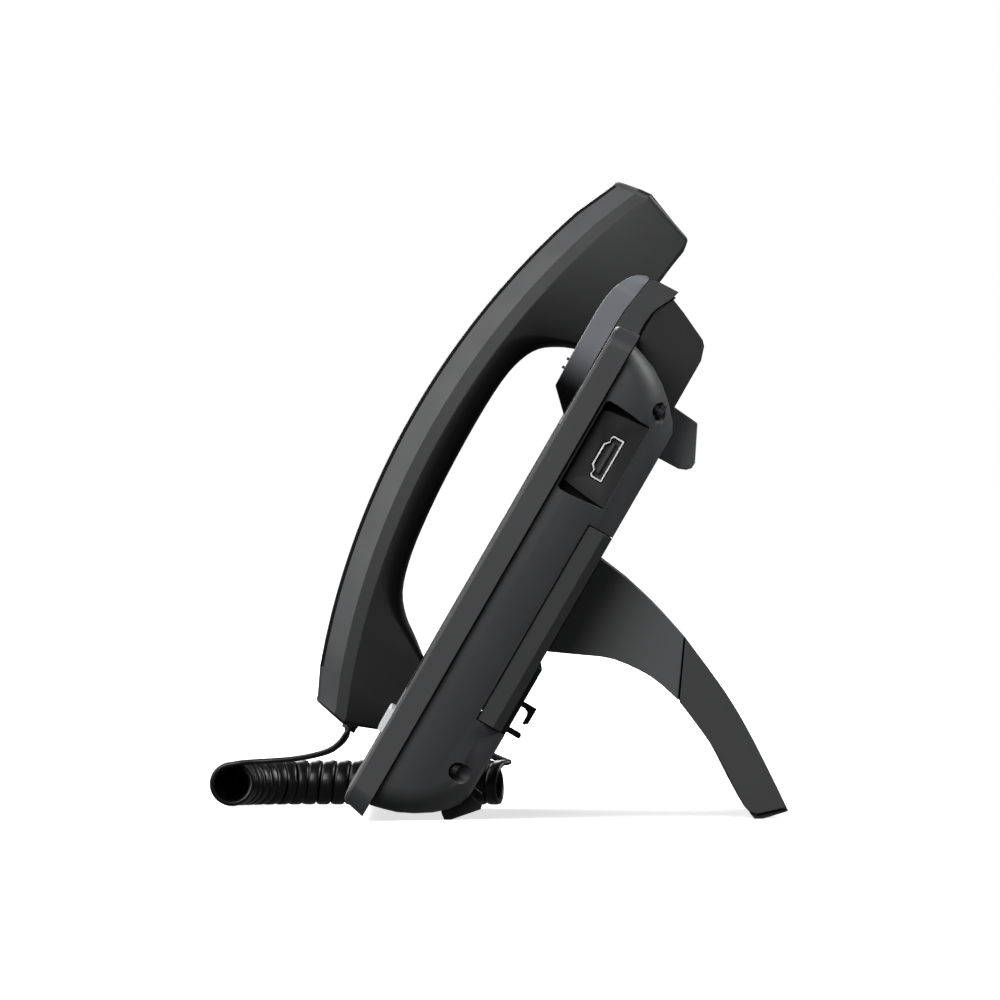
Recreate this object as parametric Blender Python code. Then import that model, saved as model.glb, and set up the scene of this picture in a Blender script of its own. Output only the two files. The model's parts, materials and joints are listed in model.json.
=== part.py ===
"""Desk video telephone: a corded handset, a tilting camera, three keys and a plug-in desk stand.

Most pieces are modelled in the face frame, which leans back with the screen: X runs to the user's right,
Y runs into the phone and Z runs up along the screen. The empty "phone_frame" turns that frame into place.
"""

import math

import bmesh
import bpy
from mathutils import Vector

MM = 0.001
GAP = 0.3 * MM  # between pieces that touch
OVER = 2.0 * MM  # how far a cutter runs past what it cuts

# Driving dimensions of the phone
BODY_WIDTH = 275.0 * MM
FACE_HEIGHT = 175.5 * MM
SHELL_DEPTH = 8.0 * MM
BODY_DEPTH = 34.6 * MM
UPPER_BACK = 32.9 * MM  # the back is lower here, above the step
BACK_STEP = 67.8 * MM
FRONT_WALL = 2.2 * MM
RIM = 5.1 * MM  # wall of the front shell's rim
HOUSING_WALL = 2.2 * MM
FACE_LEAN = math.radians(30)  # from upright
FACE_ORIGIN = Vector((0, -66.0 * MM, 6.9 * MM))

# Camera tower
TOWER_X = 30.0 * MM
TOWER_WIDTH = 70.0 * MM
CAMERA_AXIS = Vector((TOWER_X, 4.0 * MM, FACE_HEIGHT - 3.0 * MM))
BARREL_RADIUS = 8.6 * MM
SHUTTER_TRAVEL = 18.0 * MM

# Handset and its cradle
HANDSET_X = 30.5 * MM - BODY_WIDTH / 2
HANDSET_WIDTH = 50.0 * MM
HANDSET_LOW = 19.2 * MM
HANDSET_HIGH = FACE_HEIGHT + 43.0 * MM
HANDSET_CROWN = 43.6 * MM  # outer curve's height over the face
HANDSET_SPLIT = 12.0 * MM  # depth of the back shell under the outer curve
HANDSET_WALL = 2.0 * MM
CRADLE_DEPTH = 3.0 * MM

# Screen and keys
GLASS_WIDTH = 178.0 * MM
GLASS_LOW = 40.0 * MM
GLASS_HIGH = 138.5 * MM
GLASS_THICK = 1.2 * MM
KEY_SIZE = Vector((30.0 * MM, 5.2 * MM, 8.3 * MM))
KEY_HEIGHT = 28.3 * MM
KEY_PITCH = 42.0 * MM
KEY_PROUD = 1.75 * MM

# Sockets
SOCKET_X = BODY_WIDTH / 2 - 7.1 * MM  # floor of the recess in the right side
VIDEO_SOCKET = Vector((0, 18.0 * MM, 136.8 * MM))
BOARD_DEPTH = 13.2 * MM
BOARD_THICK = 1.6 * MM
CORD_SOCKET = Vector((3.2 * MM - BODY_WIDTH / 2, 17.0 * MM, 45.0 * MM))

# Rear cover
COVER_LOW = 43.8 * MM
COVER_HIGH = 115.4 * MM
COVER_FRONT = 24.3 * MM
COVER_HALF = BODY_WIDTH / 2 - 7.2 * MM
COVER_WALL = 2.2 * MM

# Screws
SCREW_X = BODY_WIDTH / 2 - 10.0 * MM
SCREW_LOW = 26.0 * MM
SCREW_HIGH = FACE_HEIGHT - 17.2 * MM
WELL_FLOOR = 25.0 * MM
WELL_RADIUS = 3.2 * MM
SHANK_RADIUS = 1.4 * MM

# Stand
STAND_HALF = 95.0 * MM
STAND_WALL = 3.0 * MM
STAND_LOW = 73.4 * MM
STAND_HIGH = 108.0 * MM

# Cord
COIL_RADIUS = 7.5 * MM
CORD_RADIUS = 1.4 * MM

FOOT_X = 98.0 * MM
FOOT_WIDTH = 19.0 * MM

# Places that several pieces share
FACE_TO_TABLE = FACE_ORIGIN.y / MM + 50.24  # mm, shifts side-view distances into the phone's own frame
HOOK_PLACE = Vector((HANDSET_X, 0, 35.0 * MM))
EAR_CENTRE = Vector((0, 4.0 * MM, FACE_HEIGHT + 14.5 * MM))
SHUTTER_KNOB = Vector((TOWER_X + SHUTTER_TRAVEL, 0, FACE_HEIGHT - 18.4 * MM))
BACK_SOCKETS = [(-66 * MM, 16 * MM), (-46 * MM, 16 * MM), (-26 * MM, 11 * MM)]  # place and width along X

COLOURS = {
    "dark_plastic": ((0.045, 0.045, 0.047), 0.45, 0.0),
    "gloss_grey": ((0.17, 0.18, 0.19), 0.18, 0.0),
    "black_glass": ((0.01, 0.01, 0.012), 0.06, 0.0),
    "rubber": ((0.02, 0.02, 0.02), 0.8, 0.0),
    "silver": ((0.7, 0.7, 0.7), 0.3, 0.9),
    "steel": ((0.6, 0.6, 0.6), 0.35, 1.0),
    "board": ((0.02, 0.12, 0.05), 0.6, 0.0),
    "black_plastic": ((0.012, 0.012, 0.012), 0.5, 0.0),
}


def clear_scene():
    for obj in list(bpy.data.objects):
        bpy.data.objects.remove(obj)


def new_collection(name):
    collection = bpy.data.collections.new(name)
    bpy.context.scene.collection.children.link(collection)
    return collection


def material(name):
    found = bpy.data.materials.get(name)
    if found:
        return found
    colour, roughness, metallic = COLOURS[name]
    made = bpy.data.materials.new(name)
    made.use_nodes = True
    shader = made.node_tree.nodes["Principled BSDF"]
    shader.inputs["Base Color"].default_value = (*colour, 1)
    shader.inputs["Roughness"].default_value = roughness
    shader.inputs["Metallic"].default_value = metallic
    return made


def add_object(name, mesh, finish=None, parent=None):
    """A node of the phone, or a cutter where it has no finish."""
    obj = bpy.data.objects.new(name, mesh)
    if finish:
        PARTS.objects.link(obj)
        mesh.materials.append(material(finish))
    else:
        CUTTERS.objects.link(obj)
        obj.hide_render = True
        obj.display_type = "WIRE"
    obj.parent = parent
    return obj


def mesh_of(shape, name):
    mesh = bpy.data.meshes.new(name)
    shape.to_mesh(mesh)
    shape.free()
    return mesh


def curve_to_mesh(curve):
    """The welded mesh of a curve, because a curve takes no Boolean."""
    temporary = bpy.data.objects.new(curve.name, curve)
    bpy.context.scene.collection.objects.link(temporary)
    graph = bpy.context.evaluated_depsgraph_get()
    mesh = bpy.data.meshes.new_from_object(temporary.evaluated_get(graph))
    bpy.data.objects.remove(temporary)
    shape = bmesh.new()
    shape.from_mesh(mesh)
    bmesh.ops.remove_doubles(shape, verts=shape.verts, dist=1e-6)
    bmesh.ops.recalc_face_normals(shape, faces=shape.faces)
    shape.to_mesh(mesh)
    shape.free()
    return mesh


def slab(name, outline, low, high, plane, finish=None, parent=None):
    """A flat outline made solid from low to high along the axis across its plane.

    plane "front" takes (x, z) points and runs along Y, "side" takes (y, z) and runs along X, and "top"
    takes (x, y) and runs along Z.
    """
    curve = bpy.data.curves.new(name, "CURVE")
    curve.dimensions = "2D"
    curve.fill_mode = "BOTH"
    curve.extrude = (high - low) / 2
    spline = curve.splines.new("POLY")
    spline.points.add(len(outline) - 1)
    for point, place in zip(spline.points, outline):
        point.co = (place[0], place[1], 0, 1)
    spline.use_cyclic_u = True
    obj = add_object(name, curve_to_mesh(curve), finish, parent)
    middle = (low + high) / 2
    if plane == "front":
        obj.rotation_euler = (math.pi / 2, 0, 0)
        obj.location = (0, middle, 0)
    elif plane == "side":
        obj.rotation_euler = (math.pi / 2, 0, math.pi / 2)
        obj.location = (middle, 0, 0)
    else:
        obj.location = (0, 0, middle)
    return obj


def box(name, low, high, finish=None, parent=None):
    """A box between two corners."""
    low = Vector(low)
    high = Vector(high)
    shape = bmesh.new()
    bmesh.ops.create_cube(shape, size=1)
    bmesh.ops.scale(shape, vec=high - low, verts=shape.verts)
    obj = add_object(name, mesh_of(shape, name), finish, parent)
    obj.location = (low + high) / 2
    return obj


def cylinder(name, start, end, radius, finish=None, parent=None, end_radius=None, sides=32):
    """A cylinder or cone between two points."""
    start = Vector(start)
    end = Vector(end)
    along = end - start
    shape = bmesh.new()
    bmesh.ops.create_cone(
        shape,
        cap_ends=True,
        segments=sides,
        radius1=radius,
        radius2=radius if end_radius is None else end_radius,
        depth=along.length,
    )
    obj = add_object(name, mesh_of(shape, name), finish, parent)
    obj.location = (start + end) / 2
    obj.rotation_euler = along.to_track_quat("Z", "Y").to_euler()
    return obj


def rounded_rectangle(left, right, bottom, top, radius, steps=6):
    """Corner arcs of a rectangle, anticlockwise."""
    centres = (
        (right - radius, top - radius, 0),
        (left + radius, top - radius, 90),
        (left + radius, bottom + radius, 180),
        (right - radius, bottom + radius, 270),
    )
    points = []
    for x, z, first in centres:
        for step in range(steps + 1):
            turn = math.radians(first + 90 * step / steps)
            points.append((x + radius * math.cos(turn), z + radius * math.sin(turn)))
    return points


def loft(name, sections, finish=None, parent=None):
    """A solid through rounded rectangles at rising depth. A section is (depth, outline)."""
    shape = bmesh.new()
    rings = []
    for depth, outline in sections:
        rings.append([shape.verts.new((x, depth, z)) for x, z in outline])
    count = len(rings[0])
    for ring, following in zip(rings, rings[1:]):
        for index in range(count):
            after = (index + 1) % count
            shape.faces.new((ring[index], ring[after], following[after], following[index]))
    shape.faces.new(rings[0])
    shape.faces.new(rings[-1])
    bmesh.ops.recalc_face_normals(shape, faces=shape.faces)
    return add_object(name, mesh_of(shape, name), finish, parent)


def smooth_line(points, steps):
    """A Catmull-Rom curve through the points, with its ends."""
    ends = [points[0]] + list(points) + [points[-1]]
    line = []
    for before, start, end, after in zip(ends, ends[1:], ends[2:], ends[3:]):
        for step in range(steps):
            t = step / steps
            place = []
            for a, b, c, d in zip(before, start, end, after):
                bend = (2 * a - 5 * b + 4 * c - d) * t * t + (3 * b - a - 3 * c + d) * t**3
                place.append(b + ((c - a) * t + bend) / 2)
            line.append(tuple(place))
    line.append(tuple(points[-1]))
    return line


def in_mm(points):
    return [tuple(value * MM for value in point) for point in points]


def from_top(points):
    """(depth, height) points in millimetres, with the heights counted from the face's top."""
    return [(depth * MM, FACE_HEIGHT + height * MM) for depth, height in points]


def change(target, operation, *tools):
    for tool in tools:
        modifier = target.modifiers.new(tool.name, "BOOLEAN")
        modifier.operation = operation
        modifier.object = tool


def cut(target, *tools):
    change(target, "DIFFERENCE", *tools)


def join(target, *tools):
    change(target, "UNION", *tools)


def keep(target, *tools):
    change(target, "INTERSECT", *tools)


def empty(name, place=(0, 0, 0), parent=None):
    made = bpy.data.objects.new(name, None)
    PARTS.objects.link(made)
    made.location = place
    made.parent = parent
    return made


def tube(name, points, radius, finish):
    """A round tube along world points, with closed ends."""
    curve = bpy.data.curves.new(name, "CURVE")
    curve.dimensions = "3D"
    curve.bevel_depth = radius
    curve.bevel_resolution = 2
    curve.use_fill_caps = True
    spline = curve.splines.new("POLY")
    spline.points.add(len(points) - 1)
    for point, place in zip(spline.points, points):
        point.co = (*place, 1)
    obj = bpy.data.objects.new(name, curve)
    curve.materials.append(material(finish))
    PARTS.objects.link(obj)
    return obj


def to_face(y, z):
    """A world point of the side view, as (depth, height) in the face frame."""
    dy = y - FACE_ORIGIN.y
    dz = z - FACE_ORIGIN.z
    depth = dy * math.cos(FACE_LEAN) - dz * math.sin(FACE_LEAN)
    height = dy * math.sin(FACE_LEAN) + dz * math.cos(FACE_LEAN)
    return depth, height


def to_world(depth, height):
    """The other way round."""
    y = FACE_ORIGIN.y + depth * math.cos(FACE_LEAN) + height * math.sin(FACE_LEAN)
    z = FACE_ORIGIN.z - depth * math.sin(FACE_LEAN) + height * math.cos(FACE_LEAN)
    return y, z


# Outlines of the side view -------------------------------------------------------------------------


def lip_outline():
    """The front shell's rise behind the camera hood."""
    front = [(0, -8)] + smooth_line([(0, 0.5), (0.3, 6), (1.36, 12.8), (2.2, 17.9)], 3)
    front += [(2.6, 18.6), (3.2, 18.9), (5.1, 19.3), (12.1, 19.6)]
    rear = smooth_line([(11.5, 17), (9.6, 13.2), (8.3, 10.3), (7.6, 6.4), (7.7, 2)], 3) + [(7.7, -8)]
    return from_top(front + rear)


def hood_outline():
    """The glossy hood: a chamfered lower end, a flat front and a rounded top."""
    chamfer = [(-0.3, -33.1), (-7.3, -26.3), (-7.75, -13.5)]
    crest = smooth_line([(-7.8, 1.5), (-7.4, 7), (-6.3, 11.6), (-4.4, 15.3), (-2, 17.8), (0.6, 19)], 4)
    rear = [(1.5, 18.8), (1.7, 18.4), (1.0, 12.9), (-0.05, 6), (-0.3, 0.5)]
    return from_top(chamfer + crest + rear)


def hood_hollow():
    points = [(3, -28.5), (-4.9, -24.5), (-6.1, -22.5), (-6.2, 5.5), (-5.6, 9), (-4, 13), (-2, 15), (3, 15)]
    return from_top(points)


def hump_outline(inset):
    """The housing's rise behind the camera, made smaller by the inset for its hollow."""
    outer = [(8.6, 2.5), (8.6, 10.3), (10, 13.4), (11.8, 16.7), (16.8, 14.7), (26.6, 10.1)]
    outer += [(28, 8.6), (29.5, 4), (29.6, -12), (29.6, -35), (12, -35)]
    if not inset:
        return from_top(outer)
    hollow = [(5, -4), (5, 7.5), (11.5, 13.6), (16, 11.6), (25, 7.5), (27.2, 2.5), (27.3, -30), (12, -30)]
    return from_top(hollow)


def lever_outline():
    """Tilt lever: an arm from the camera barrel to the wedge-shaped thumb tab."""
    arm = [(13.2, -6), (13.2, -0.5), (20, -3.5), (29.5, -13.1)]
    tab = [(38.8, -13.9), (44.6, -25.6), (44.5, -27.6), (43.2, -28.9), (40.8, -29.9), (33.4, -30.1)]
    return from_top(arm + tab + [(30.5, -28.5), (21, -12.5)])


def handset_arc(inset, low, high, steps=20):
    """(depth, height) points of the handset's outer arc, moved inwards by the inset."""
    half = (HANDSET_HIGH - HANDSET_LOW) / 2
    middle = (HANDSET_HIGH + HANDSET_LOW) / 2
    sag = HANDSET_CROWN - 24.0 * MM
    radius = (half * half + sag * sag) / (2 * sag)
    points = []
    for step in range(steps + 1):
        height = low + (high - low) * step / steps
        drop = radius - math.sqrt(radius * radius - (height - middle) ** 2)
        points.append((drop + inset - HANDSET_CROWN, height))
    return points


def handset_outline():
    """The whole handset from the side: outer arc, ear end, grip and mouth end."""
    outer = handset_arc(0, HANDSET_LOW, HANDSET_HIGH)
    ear = from_top([(-12.5, 44.7), (7.1, 38.2), (7.5, 35.4), (2.3, -8.5), (-1.5, -10.1)])
    grip = from_top(
        [(-7.1, -12.2), (-12.5, -14.5), (-17.9, -18.4), (-21.2, -24.5), (-23.1, -33.8), (-23.7, -49.5)]
    )
    grip += in_mm([(-23.2, 104.7), (-21.7, 86.3), (-19.7, 74), (-16.6, 64.7), (-11.7, 58.5), (-5.6, 54)])
    mouth = in_mm([(-0.2, 49.8), (2.6, 46.5), (2.6, 22.4), (-1.5, 20.7), (-9.1, 16.9)])
    return outer + ear + smooth_line(grip, 2) + mouth


def handset_inner_outline():
    """The hollow inside the handset, one wall smaller."""
    outer = handset_arc(HANDSET_WALL, HANDSET_LOW + HANDSET_WALL, HANDSET_HIGH - HANDSET_WALL)
    ear = from_top([(-12.3, 42.3), (4.6, 36.3), (0.4, -6.3), (-2.5, -8.1)])
    grip = from_top([(-8.5, -10.5), (-15, -13.5), (-21.8, -19.5), (-25.3, -29.5), (-25.8, -49.5)])
    grip += in_mm([(-24.7, 95), (-21.8, 74), (-17.5, 61.5), (-8, 53)])
    mouth = in_mm([(-1.8, 48.6), (0.5, 45.5), (0.5, 24.5), (-9, 19.2)])
    return outer + ear + grip + mouth


# Front shell ---------------------------------------------------------------------------------------


def speaker_slots():
    return [
        rounded_rectangle(HANDSET_X - 17 * MM, HANDSET_X + 17 * MM, z - 0.9 * MM, z + 0.9 * MM, 0.85 * MM, 3)
        for z in [(88 + 4.4 * row) * MM for row in range(8)]
    ]


def make_front_shell():
    half = BODY_WIDTH / 2
    top = FACE_HEIGHT
    sections = [
        (0, rounded_rectangle(0.8 * MM - half, half - 0.8 * MM, 0.7 * MM, top - 0.7 * MM, 6.2 * MM)),
        (0.8 * MM, rounded_rectangle(0.2 * MM - half, half - 0.2 * MM, -0.1 * MM, top, 6.8 * MM)),
        (SHELL_DEPTH, rounded_rectangle(-half, half, -1.65 * MM, top + 0.8 * MM, 7 * MM)),
    ]
    shell = loft("front_shell", sections, "dark_plastic", PHONE)
    pocket = slab(
        "shell_pocket",
        rounded_rectangle(RIM - half, half - RIM, 5.2 * MM, top - RIM, 5 * MM),
        FRONT_WALL,
        SHELL_DEPTH + OVER,
        "front",
        parent=PHONE,
    )
    tower_left = TOWER_X - TOWER_WIDTH / 2
    tower_right = TOWER_X + TOWER_WIDTH / 2
    lip = slab("shell_lip", lip_outline(), tower_left, tower_right, "side", parent=PHONE)
    side_left = HANDSET_X - HANDSET_WIDTH / 2
    side_right = HANDSET_X + HANDSET_WIDTH / 2
    ear_block = slab(
        "ear_block",
        from_top([(1, -23.5), (1, -0.5), (1.4, 11.7), (2.8, 13.1), (11.6, 13.1), (12.2, 12.1), (12.2, 1.7)])
        + from_top([(7.8, 0.5), (7.8, -23.5)]),
        side_left - 3 * MM,
        side_right + 3 * MM,
        "side",
        parent=PHONE,
    )
    mouth_block = box(
        "mouth_block",
        (side_left - 3 * MM, 1 * MM, 10 * MM),
        (side_right + 3 * MM, 7.8 * MM, 58 * MM),
        parent=PHONE,
    )
    cut(shell, pocket)
    join(shell, lip, ear_block, mouth_block)
    for modifier in shell.modifiers:
        modifier.solver = "MANIFOLD"  # EXACT can lose a face of the pocket's round corner
    clear = 0.8 * MM
    ear_recess = slab(
        "ear_recess",
        from_top([(-9, -15.3), (-1.5, -11.5), (2.7, -9.3), (5.5, 14.5), (-9, 16.5)]),
        side_left - clear,
        side_right + clear,
        "side",
        parent=PHONE,
    )
    mouth_recess = slab(
        "mouth_recess",
        [(-9 * MM, 16.2 * MM), (-1.5 * MM, 20 * MM), (CRADLE_DEPTH, 21.7 * MM), (CRADLE_DEPTH, 47.2 * MM)]
        + in_mm([(0, 50.6), (-9, 58)]),
        side_left - clear,
        side_right + clear,
        "side",
        parent=PHONE,
    )
    glass_left = TOWER_X - GLASS_WIDTH / 2
    glass_right = TOWER_X + GLASS_WIDTH / 2
    glass_seat = box(
        "glass_seat",
        (glass_left - GAP, -OVER, GLASS_LOW - GAP),
        (glass_right + GAP, GLASS_THICK + 0.4 * MM, GLASS_HIGH + GAP),
        parent=PHONE,
    )
    ledge = 3.0 * MM
    window = box(
        "glass_window",
        (glass_left + ledge, 0, GLASS_LOW + ledge),
        (glass_right - ledge, SHELL_DEPTH, GLASS_HIGH - ledge),
        parent=PHONE,
    )
    camera_opening = box(
        "camera_opening",
        (TOWER_X - 20 * MM, -OVER, top - 20.5 * MM),
        (TOWER_X + 20 * MM, 14 * MM, top + 11.5 * MM),
        parent=PHONE,
    )
    cut(shell, ear_recess, mouth_recess, glass_seat, window, camera_opening)
    for index in (-1, 0, 1):
        x = TOWER_X + index * KEY_PITCH
        hole = box(
            f"key_hole_{index + 2}",
            (x - KEY_SIZE.x / 2 - GAP, -OVER, KEY_HEIGHT - KEY_SIZE.z / 2 - GAP),
            (x + KEY_SIZE.x / 2 + GAP, FRONT_WALL + OVER, KEY_HEIGHT + KEY_SIZE.z / 2 + GAP),
            parent=PHONE,
        )
        cut(shell, hole)
    for row, outline in enumerate(speaker_slots()):
        cut(shell, slab(f"speaker_slot_{row}", outline, -OVER, FRONT_WALL + OVER, "front", parent=PHONE))
    hook = HOOK_PLACE
    hook_hole = box(
        "hook_hole",
        (hook.x - 4.4 * MM, -OVER, hook.z - 2.9 * MM),
        (hook.x + 4.4 * MM, 12 * MM, hook.z + 2.9 * MM),
        parent=PHONE,
    )
    sound_hole = cylinder(
        "sound_hole", (TOWER_X, -OVER, 12 * MM), (TOWER_X, 5 * MM, 12 * MM), 1 * MM, parent=PHONE, sides=12
    )
    cut(shell, hook_hole, sound_hole)
    for index, (x, z) in enumerate(screw_places()):
        base = CRADLE_DEPTH + 1.5 * MM if x < 0 else 1 * MM
        boss = cylinder(
            f"boss_{index}", (x, base, z), (x, WELL_FLOOR - 6.5 * MM, z), 2.9 * MM, parent=PHONE, sides=20
        )
        pilot = cylinder(
            f"pilot_{index}",
            (x, 5 * MM, z),
            (x, WELL_FLOOR, z),
            SHANK_RADIUS + GAP,
            parent=PHONE,
            sides=16,
        )
        join(shell, boss)
        cut(shell, pilot)
    return shell


def screw_places():
    return [(side * SCREW_X, height) for side in (-1, 1) for height in (SCREW_LOW, SCREW_HIGH)]


# Rear housing and cover ----------------------------------------------------------------------------


def housing_section(depth, half, bottom, top, radius, inset=0):
    outline = rounded_rectangle(
        inset - half, half - inset, bottom + inset, top - inset, max(radius - inset, 2 * MM)
    )
    return depth, outline


def make_rear_housing():
    half = BODY_WIDTH / 2
    top = FACE_HEIGHT
    # depth, inset of the sides, bottom, drop of the top, corner radius
    steps = in_mm(
        [
            (8.3, 2.7, 2.7, 2.8, 7),
            (12.5, 2.8, 3.7, 4.2, 8),
            (17, 3.4, 5.0, 6.0, 9),
            (22, 5.0, 7.4, 9.1, 10),
            (27, 8.0, 10.5, 13.4, 12),
            (31, 12.0, 13.9, 17.9, 13),
            (33.4, 15.0, 16.9, 22.0, 14),
        ]
    )
    last = (BODY_DEPTH, 18.0 * MM, 20.5 * MM, 25.0 * MM, 15 * MM)
    outer = []
    for depth, side, bottom, drop, radius in steps + [last]:
        outer.append(housing_section(depth, half - side, bottom, top - drop, radius))
    housing = loft("rear_housing", outer, "dark_plastic", PHONE)
    hollow_depth = UPPER_BACK - HOUSING_WALL
    first = SHELL_DEPTH - OVER
    inner = [housing_section(first, half - 2.7 * MM, 2.7 * MM, top - 2.8 * MM, 7 * MM, HOUSING_WALL)]
    for depth, side, bottom, drop, radius in steps[1:5]:
        inner.append(housing_section(depth, half - side, bottom, top - drop, radius, HOUSING_WALL))
    depth, side, bottom, drop, radius = steps[5]
    inner.append(housing_section(hollow_depth, half - side, bottom, top - drop, radius, HOUSING_WALL))
    cavity = loft("housing_cavity", inner, parent=PHONE)
    tower_left = TOWER_X - TOWER_WIDTH / 2
    tower_right = TOWER_X + TOWER_WIDTH / 2
    hump = slab("hump", hump_outline(False), tower_left + MM, tower_right - MM, "side", parent=PHONE)
    hump_hollow = slab(
        "hump_hollow",
        hump_outline(True),
        tower_left + MM + HOUSING_WALL,
        tower_right - MM - HOUSING_WALL,
        "side",
        parent=PHONE,
    )
    join(housing, hump)
    for index, (x, z) in enumerate(screw_places()):
        outward = 6 * MM if x > 0 else -6 * MM
        upward = 6 * MM if z > top / 2 else -6 * MM
        across = sorted((x - outward * 0.8, x + outward * 2))
        tall = sorted((z - upward * 0.8, z + upward * 2))
        post = box(
            f"post_{index}",
            (across[0], WELL_FLOOR - 2.7 * MM, tall[0]),
            (across[1], BODY_DEPTH + OVER, tall[1]),
            parent=PHONE,
        )
        cut(cavity, post)
    socket_block = box(
        "socket_block",
        (SOCKET_X - HOUSING_WALL, 0, VIDEO_SOCKET.z - 18 * MM),
        (half, BODY_DEPTH, VIDEO_SOCKET.z + 18 * MM),
        parent=PHONE,
    )
    cut(cavity, socket_block)
    cut(housing, cavity, hump_hollow)
    recess = box(
        "socket_recess",
        (SOCKET_X, 9.4 * MM, VIDEO_SOCKET.z - 14.9 * MM),
        (half + OVER, 26.5 * MM, VIDEO_SOCKET.z + 15.6 * MM),
        parent=PHONE,
    )
    socket_hole = slab(
        "video_hole",
        video_outline(7.85 * MM, 3.1 * MM),
        SOCKET_X - HOUSING_WALL - OVER,
        half,
        "side",
        parent=PHONE,
    )
    upper_back = box(
        "upper_back",
        (-half, UPPER_BACK, BACK_STEP),
        (half, BODY_DEPTH + 10 * MM, top + 30 * MM),
        parent=PHONE,
    )
    cover_opening = box(
        "cover_opening",
        (-half - OVER, COVER_FRONT - GAP, COVER_LOW - GAP),
        (half + OVER, BODY_DEPTH + 9 * MM, COVER_HIGH + GAP),
        parent=PHONE,
    )
    lever_slot = box(
        "lever_slot",
        (TOWER_X - 8 * MM, 24 * MM, top - 38 * MM),
        (TOWER_X + 8 * MM, BODY_DEPTH + 8 * MM, top - 4 * MM),
        parent=PHONE,
    )
    cord_hole = box(
        "cord_hole",
        (-half - OVER, CORD_SOCKET.y - 3.3 * MM, CORD_SOCKET.z - 4.2 * MM),
        (-half + 12 * MM, CORD_SOCKET.y + 3.3 * MM, CORD_SOCKET.z + 4.2 * MM),
        parent=PHONE,
    )
    cut(housing, recess, socket_hole, upper_back, cover_opening, lever_slot, cord_hole)
    for index, (x, width) in enumerate(BACK_SOCKETS):
        hole = box(
            f"back_hole_{index}",
            (x - width / 2 - GAP, 28 * MM, 123.0 * MM - GAP),
            (x + width / 2 + GAP, BODY_DEPTH + 7 * MM, 136.5 * MM + GAP),
            parent=PHONE,
        )
        cut(housing, hole)
    for index, (x, z) in enumerate(screw_places()):
        mouth = BODY_DEPTH + 6 * MM
        well = cylinder(
            f"well_{index}", (x, WELL_FLOOR, z), (x, mouth, z), WELL_RADIUS, parent=PHONE, sides=24
        )
        shank = cylinder(
            f"shank_hole_{index}",
            (x, WELL_FLOOR - 5 * MM, z),
            (x, WELL_FLOOR + MM, z),
            SHANK_RADIUS + GAP,
            parent=PHONE,
            sides=16,
        )
        cut(housing, well, shank)
    return housing


def video_outline(half_length, half_width):
    """Depth and height points of the video socket: a straight rear side, a front one stepped twice."""
    corner = [(1.0, 1.0), (-0.38, 1.0), (-0.6, 0.89), (-0.49, 0.71), (-1.0, 0.51)]
    points = corner + [(across, -along) for across, along in reversed(corner)]
    return [(VIDEO_SOCKET.y + x * half_width, VIDEO_SOCKET.z + z * half_length) for x, z in points]


def make_rear_cover():
    edge = 2.8 * MM
    front = COVER_FRONT
    back = UPPER_BACK
    wall = COVER_WALL
    right = [(COVER_HALF, front), (COVER_HALF, back - edge), (COVER_HALF - edge, back)]
    inner = [
        (COVER_HALF - wall, front),
        (COVER_HALF - wall, back - edge - 0.5 * MM),
        (COVER_HALF - edge - 0.5 * MM, back - wall),
    ]
    left = [(-x, y) for x, y in reversed(right)]
    inner_left = [(-x, y) for x, y in inner]
    outline = right + left + inner_left + list(reversed(inner))
    cover = slab("rear_cover", outline, COVER_LOW, COVER_HIGH, "top", "dark_plastic", PHONE)
    half = BODY_WIDTH / 2 - 18.0 * MM
    raised = box(
        "cover_raised", (-half, UPPER_BACK - MM, COVER_LOW), (half, BODY_DEPTH, BACK_STEP), parent=PHONE
    )
    prong = slab(
        "clip_prong",
        in_mm([(34, 44.1), (34, 45.9), (39.2, 45.9), (39.7, 45.4), (39.7, 44.4), (39.4, 44.1)]),
        50 * MM,
        66 * MM,
        "side",
        parent=PHONE,
    )
    hook = slab(
        "clip_hook",
        in_mm([(34, 53.6), (36.3, 53.6), (37.6, 53.0), (38.1, 51.9), (38.1, 48.9), (38.8, 48.9)])
        + in_mm([(39.8, 49.9), (39.8, 55.3), (34, 55.3)]),
        50 * MM,
        66 * MM,
        "side",
        parent=PHONE,
    )
    join(cover, raised, prong, hook)
    for side in (-1, 1):
        slot = box(
            f"hook_slot_{side + 2}",
            (side * 57 * MM - 7 * MM, UPPER_BACK - 6 * MM, STAND_LOW + 11.6 * MM),
            (side * 57 * MM + 7 * MM, UPPER_BACK + OVER, STAND_LOW + 22.9 * MM),
            parent=PHONE,
        )
        cut(cover, slot)
    return cover


# Camera --------------------------------------------------------------------------------------------


def make_camera_hood():
    top = FACE_HEIGHT
    left = TOWER_X - TOWER_WIDTH / 2
    right = TOWER_X + TOWER_WIDTH / 2
    front = rounded_rectangle(left, right, top - 33.2 * MM, top + 19.2 * MM, 9 * MM)
    hood = slab("camera_hood", front, -12 * MM, 6 * MM, "front", "gloss_grey", PHONE)
    side = slab("hood_side", hood_outline(), left - OVER, right + OVER, "side", parent=PHONE)
    hollow = slab("hood_hollow", hood_hollow(), left + 3 * MM, right - 3 * MM, "side", parent=PHONE)
    keep(hood, side)
    lens_hole = cylinder(
        "lens_hole",
        (CAMERA_AXIS.x, -14 * MM, CAMERA_AXIS.z),
        (CAMERA_AXIS.x, -2 * MM, CAMERA_AXIS.z),
        7.2 * MM,
        parent=PHONE,
    )
    knob = SHUTTER_KNOB
    slot = box(
        "knob_slot",
        (TOWER_X - 4 * MM, -12 * MM, knob.z - 2.5 * MM),
        (TOWER_X + SHUTTER_TRAVEL + 4 * MM, -4 * MM, knob.z + 2.5 * MM),
        parent=PHONE,
    )
    cut(hood, hollow, lens_hole, slot)
    return hood


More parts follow.
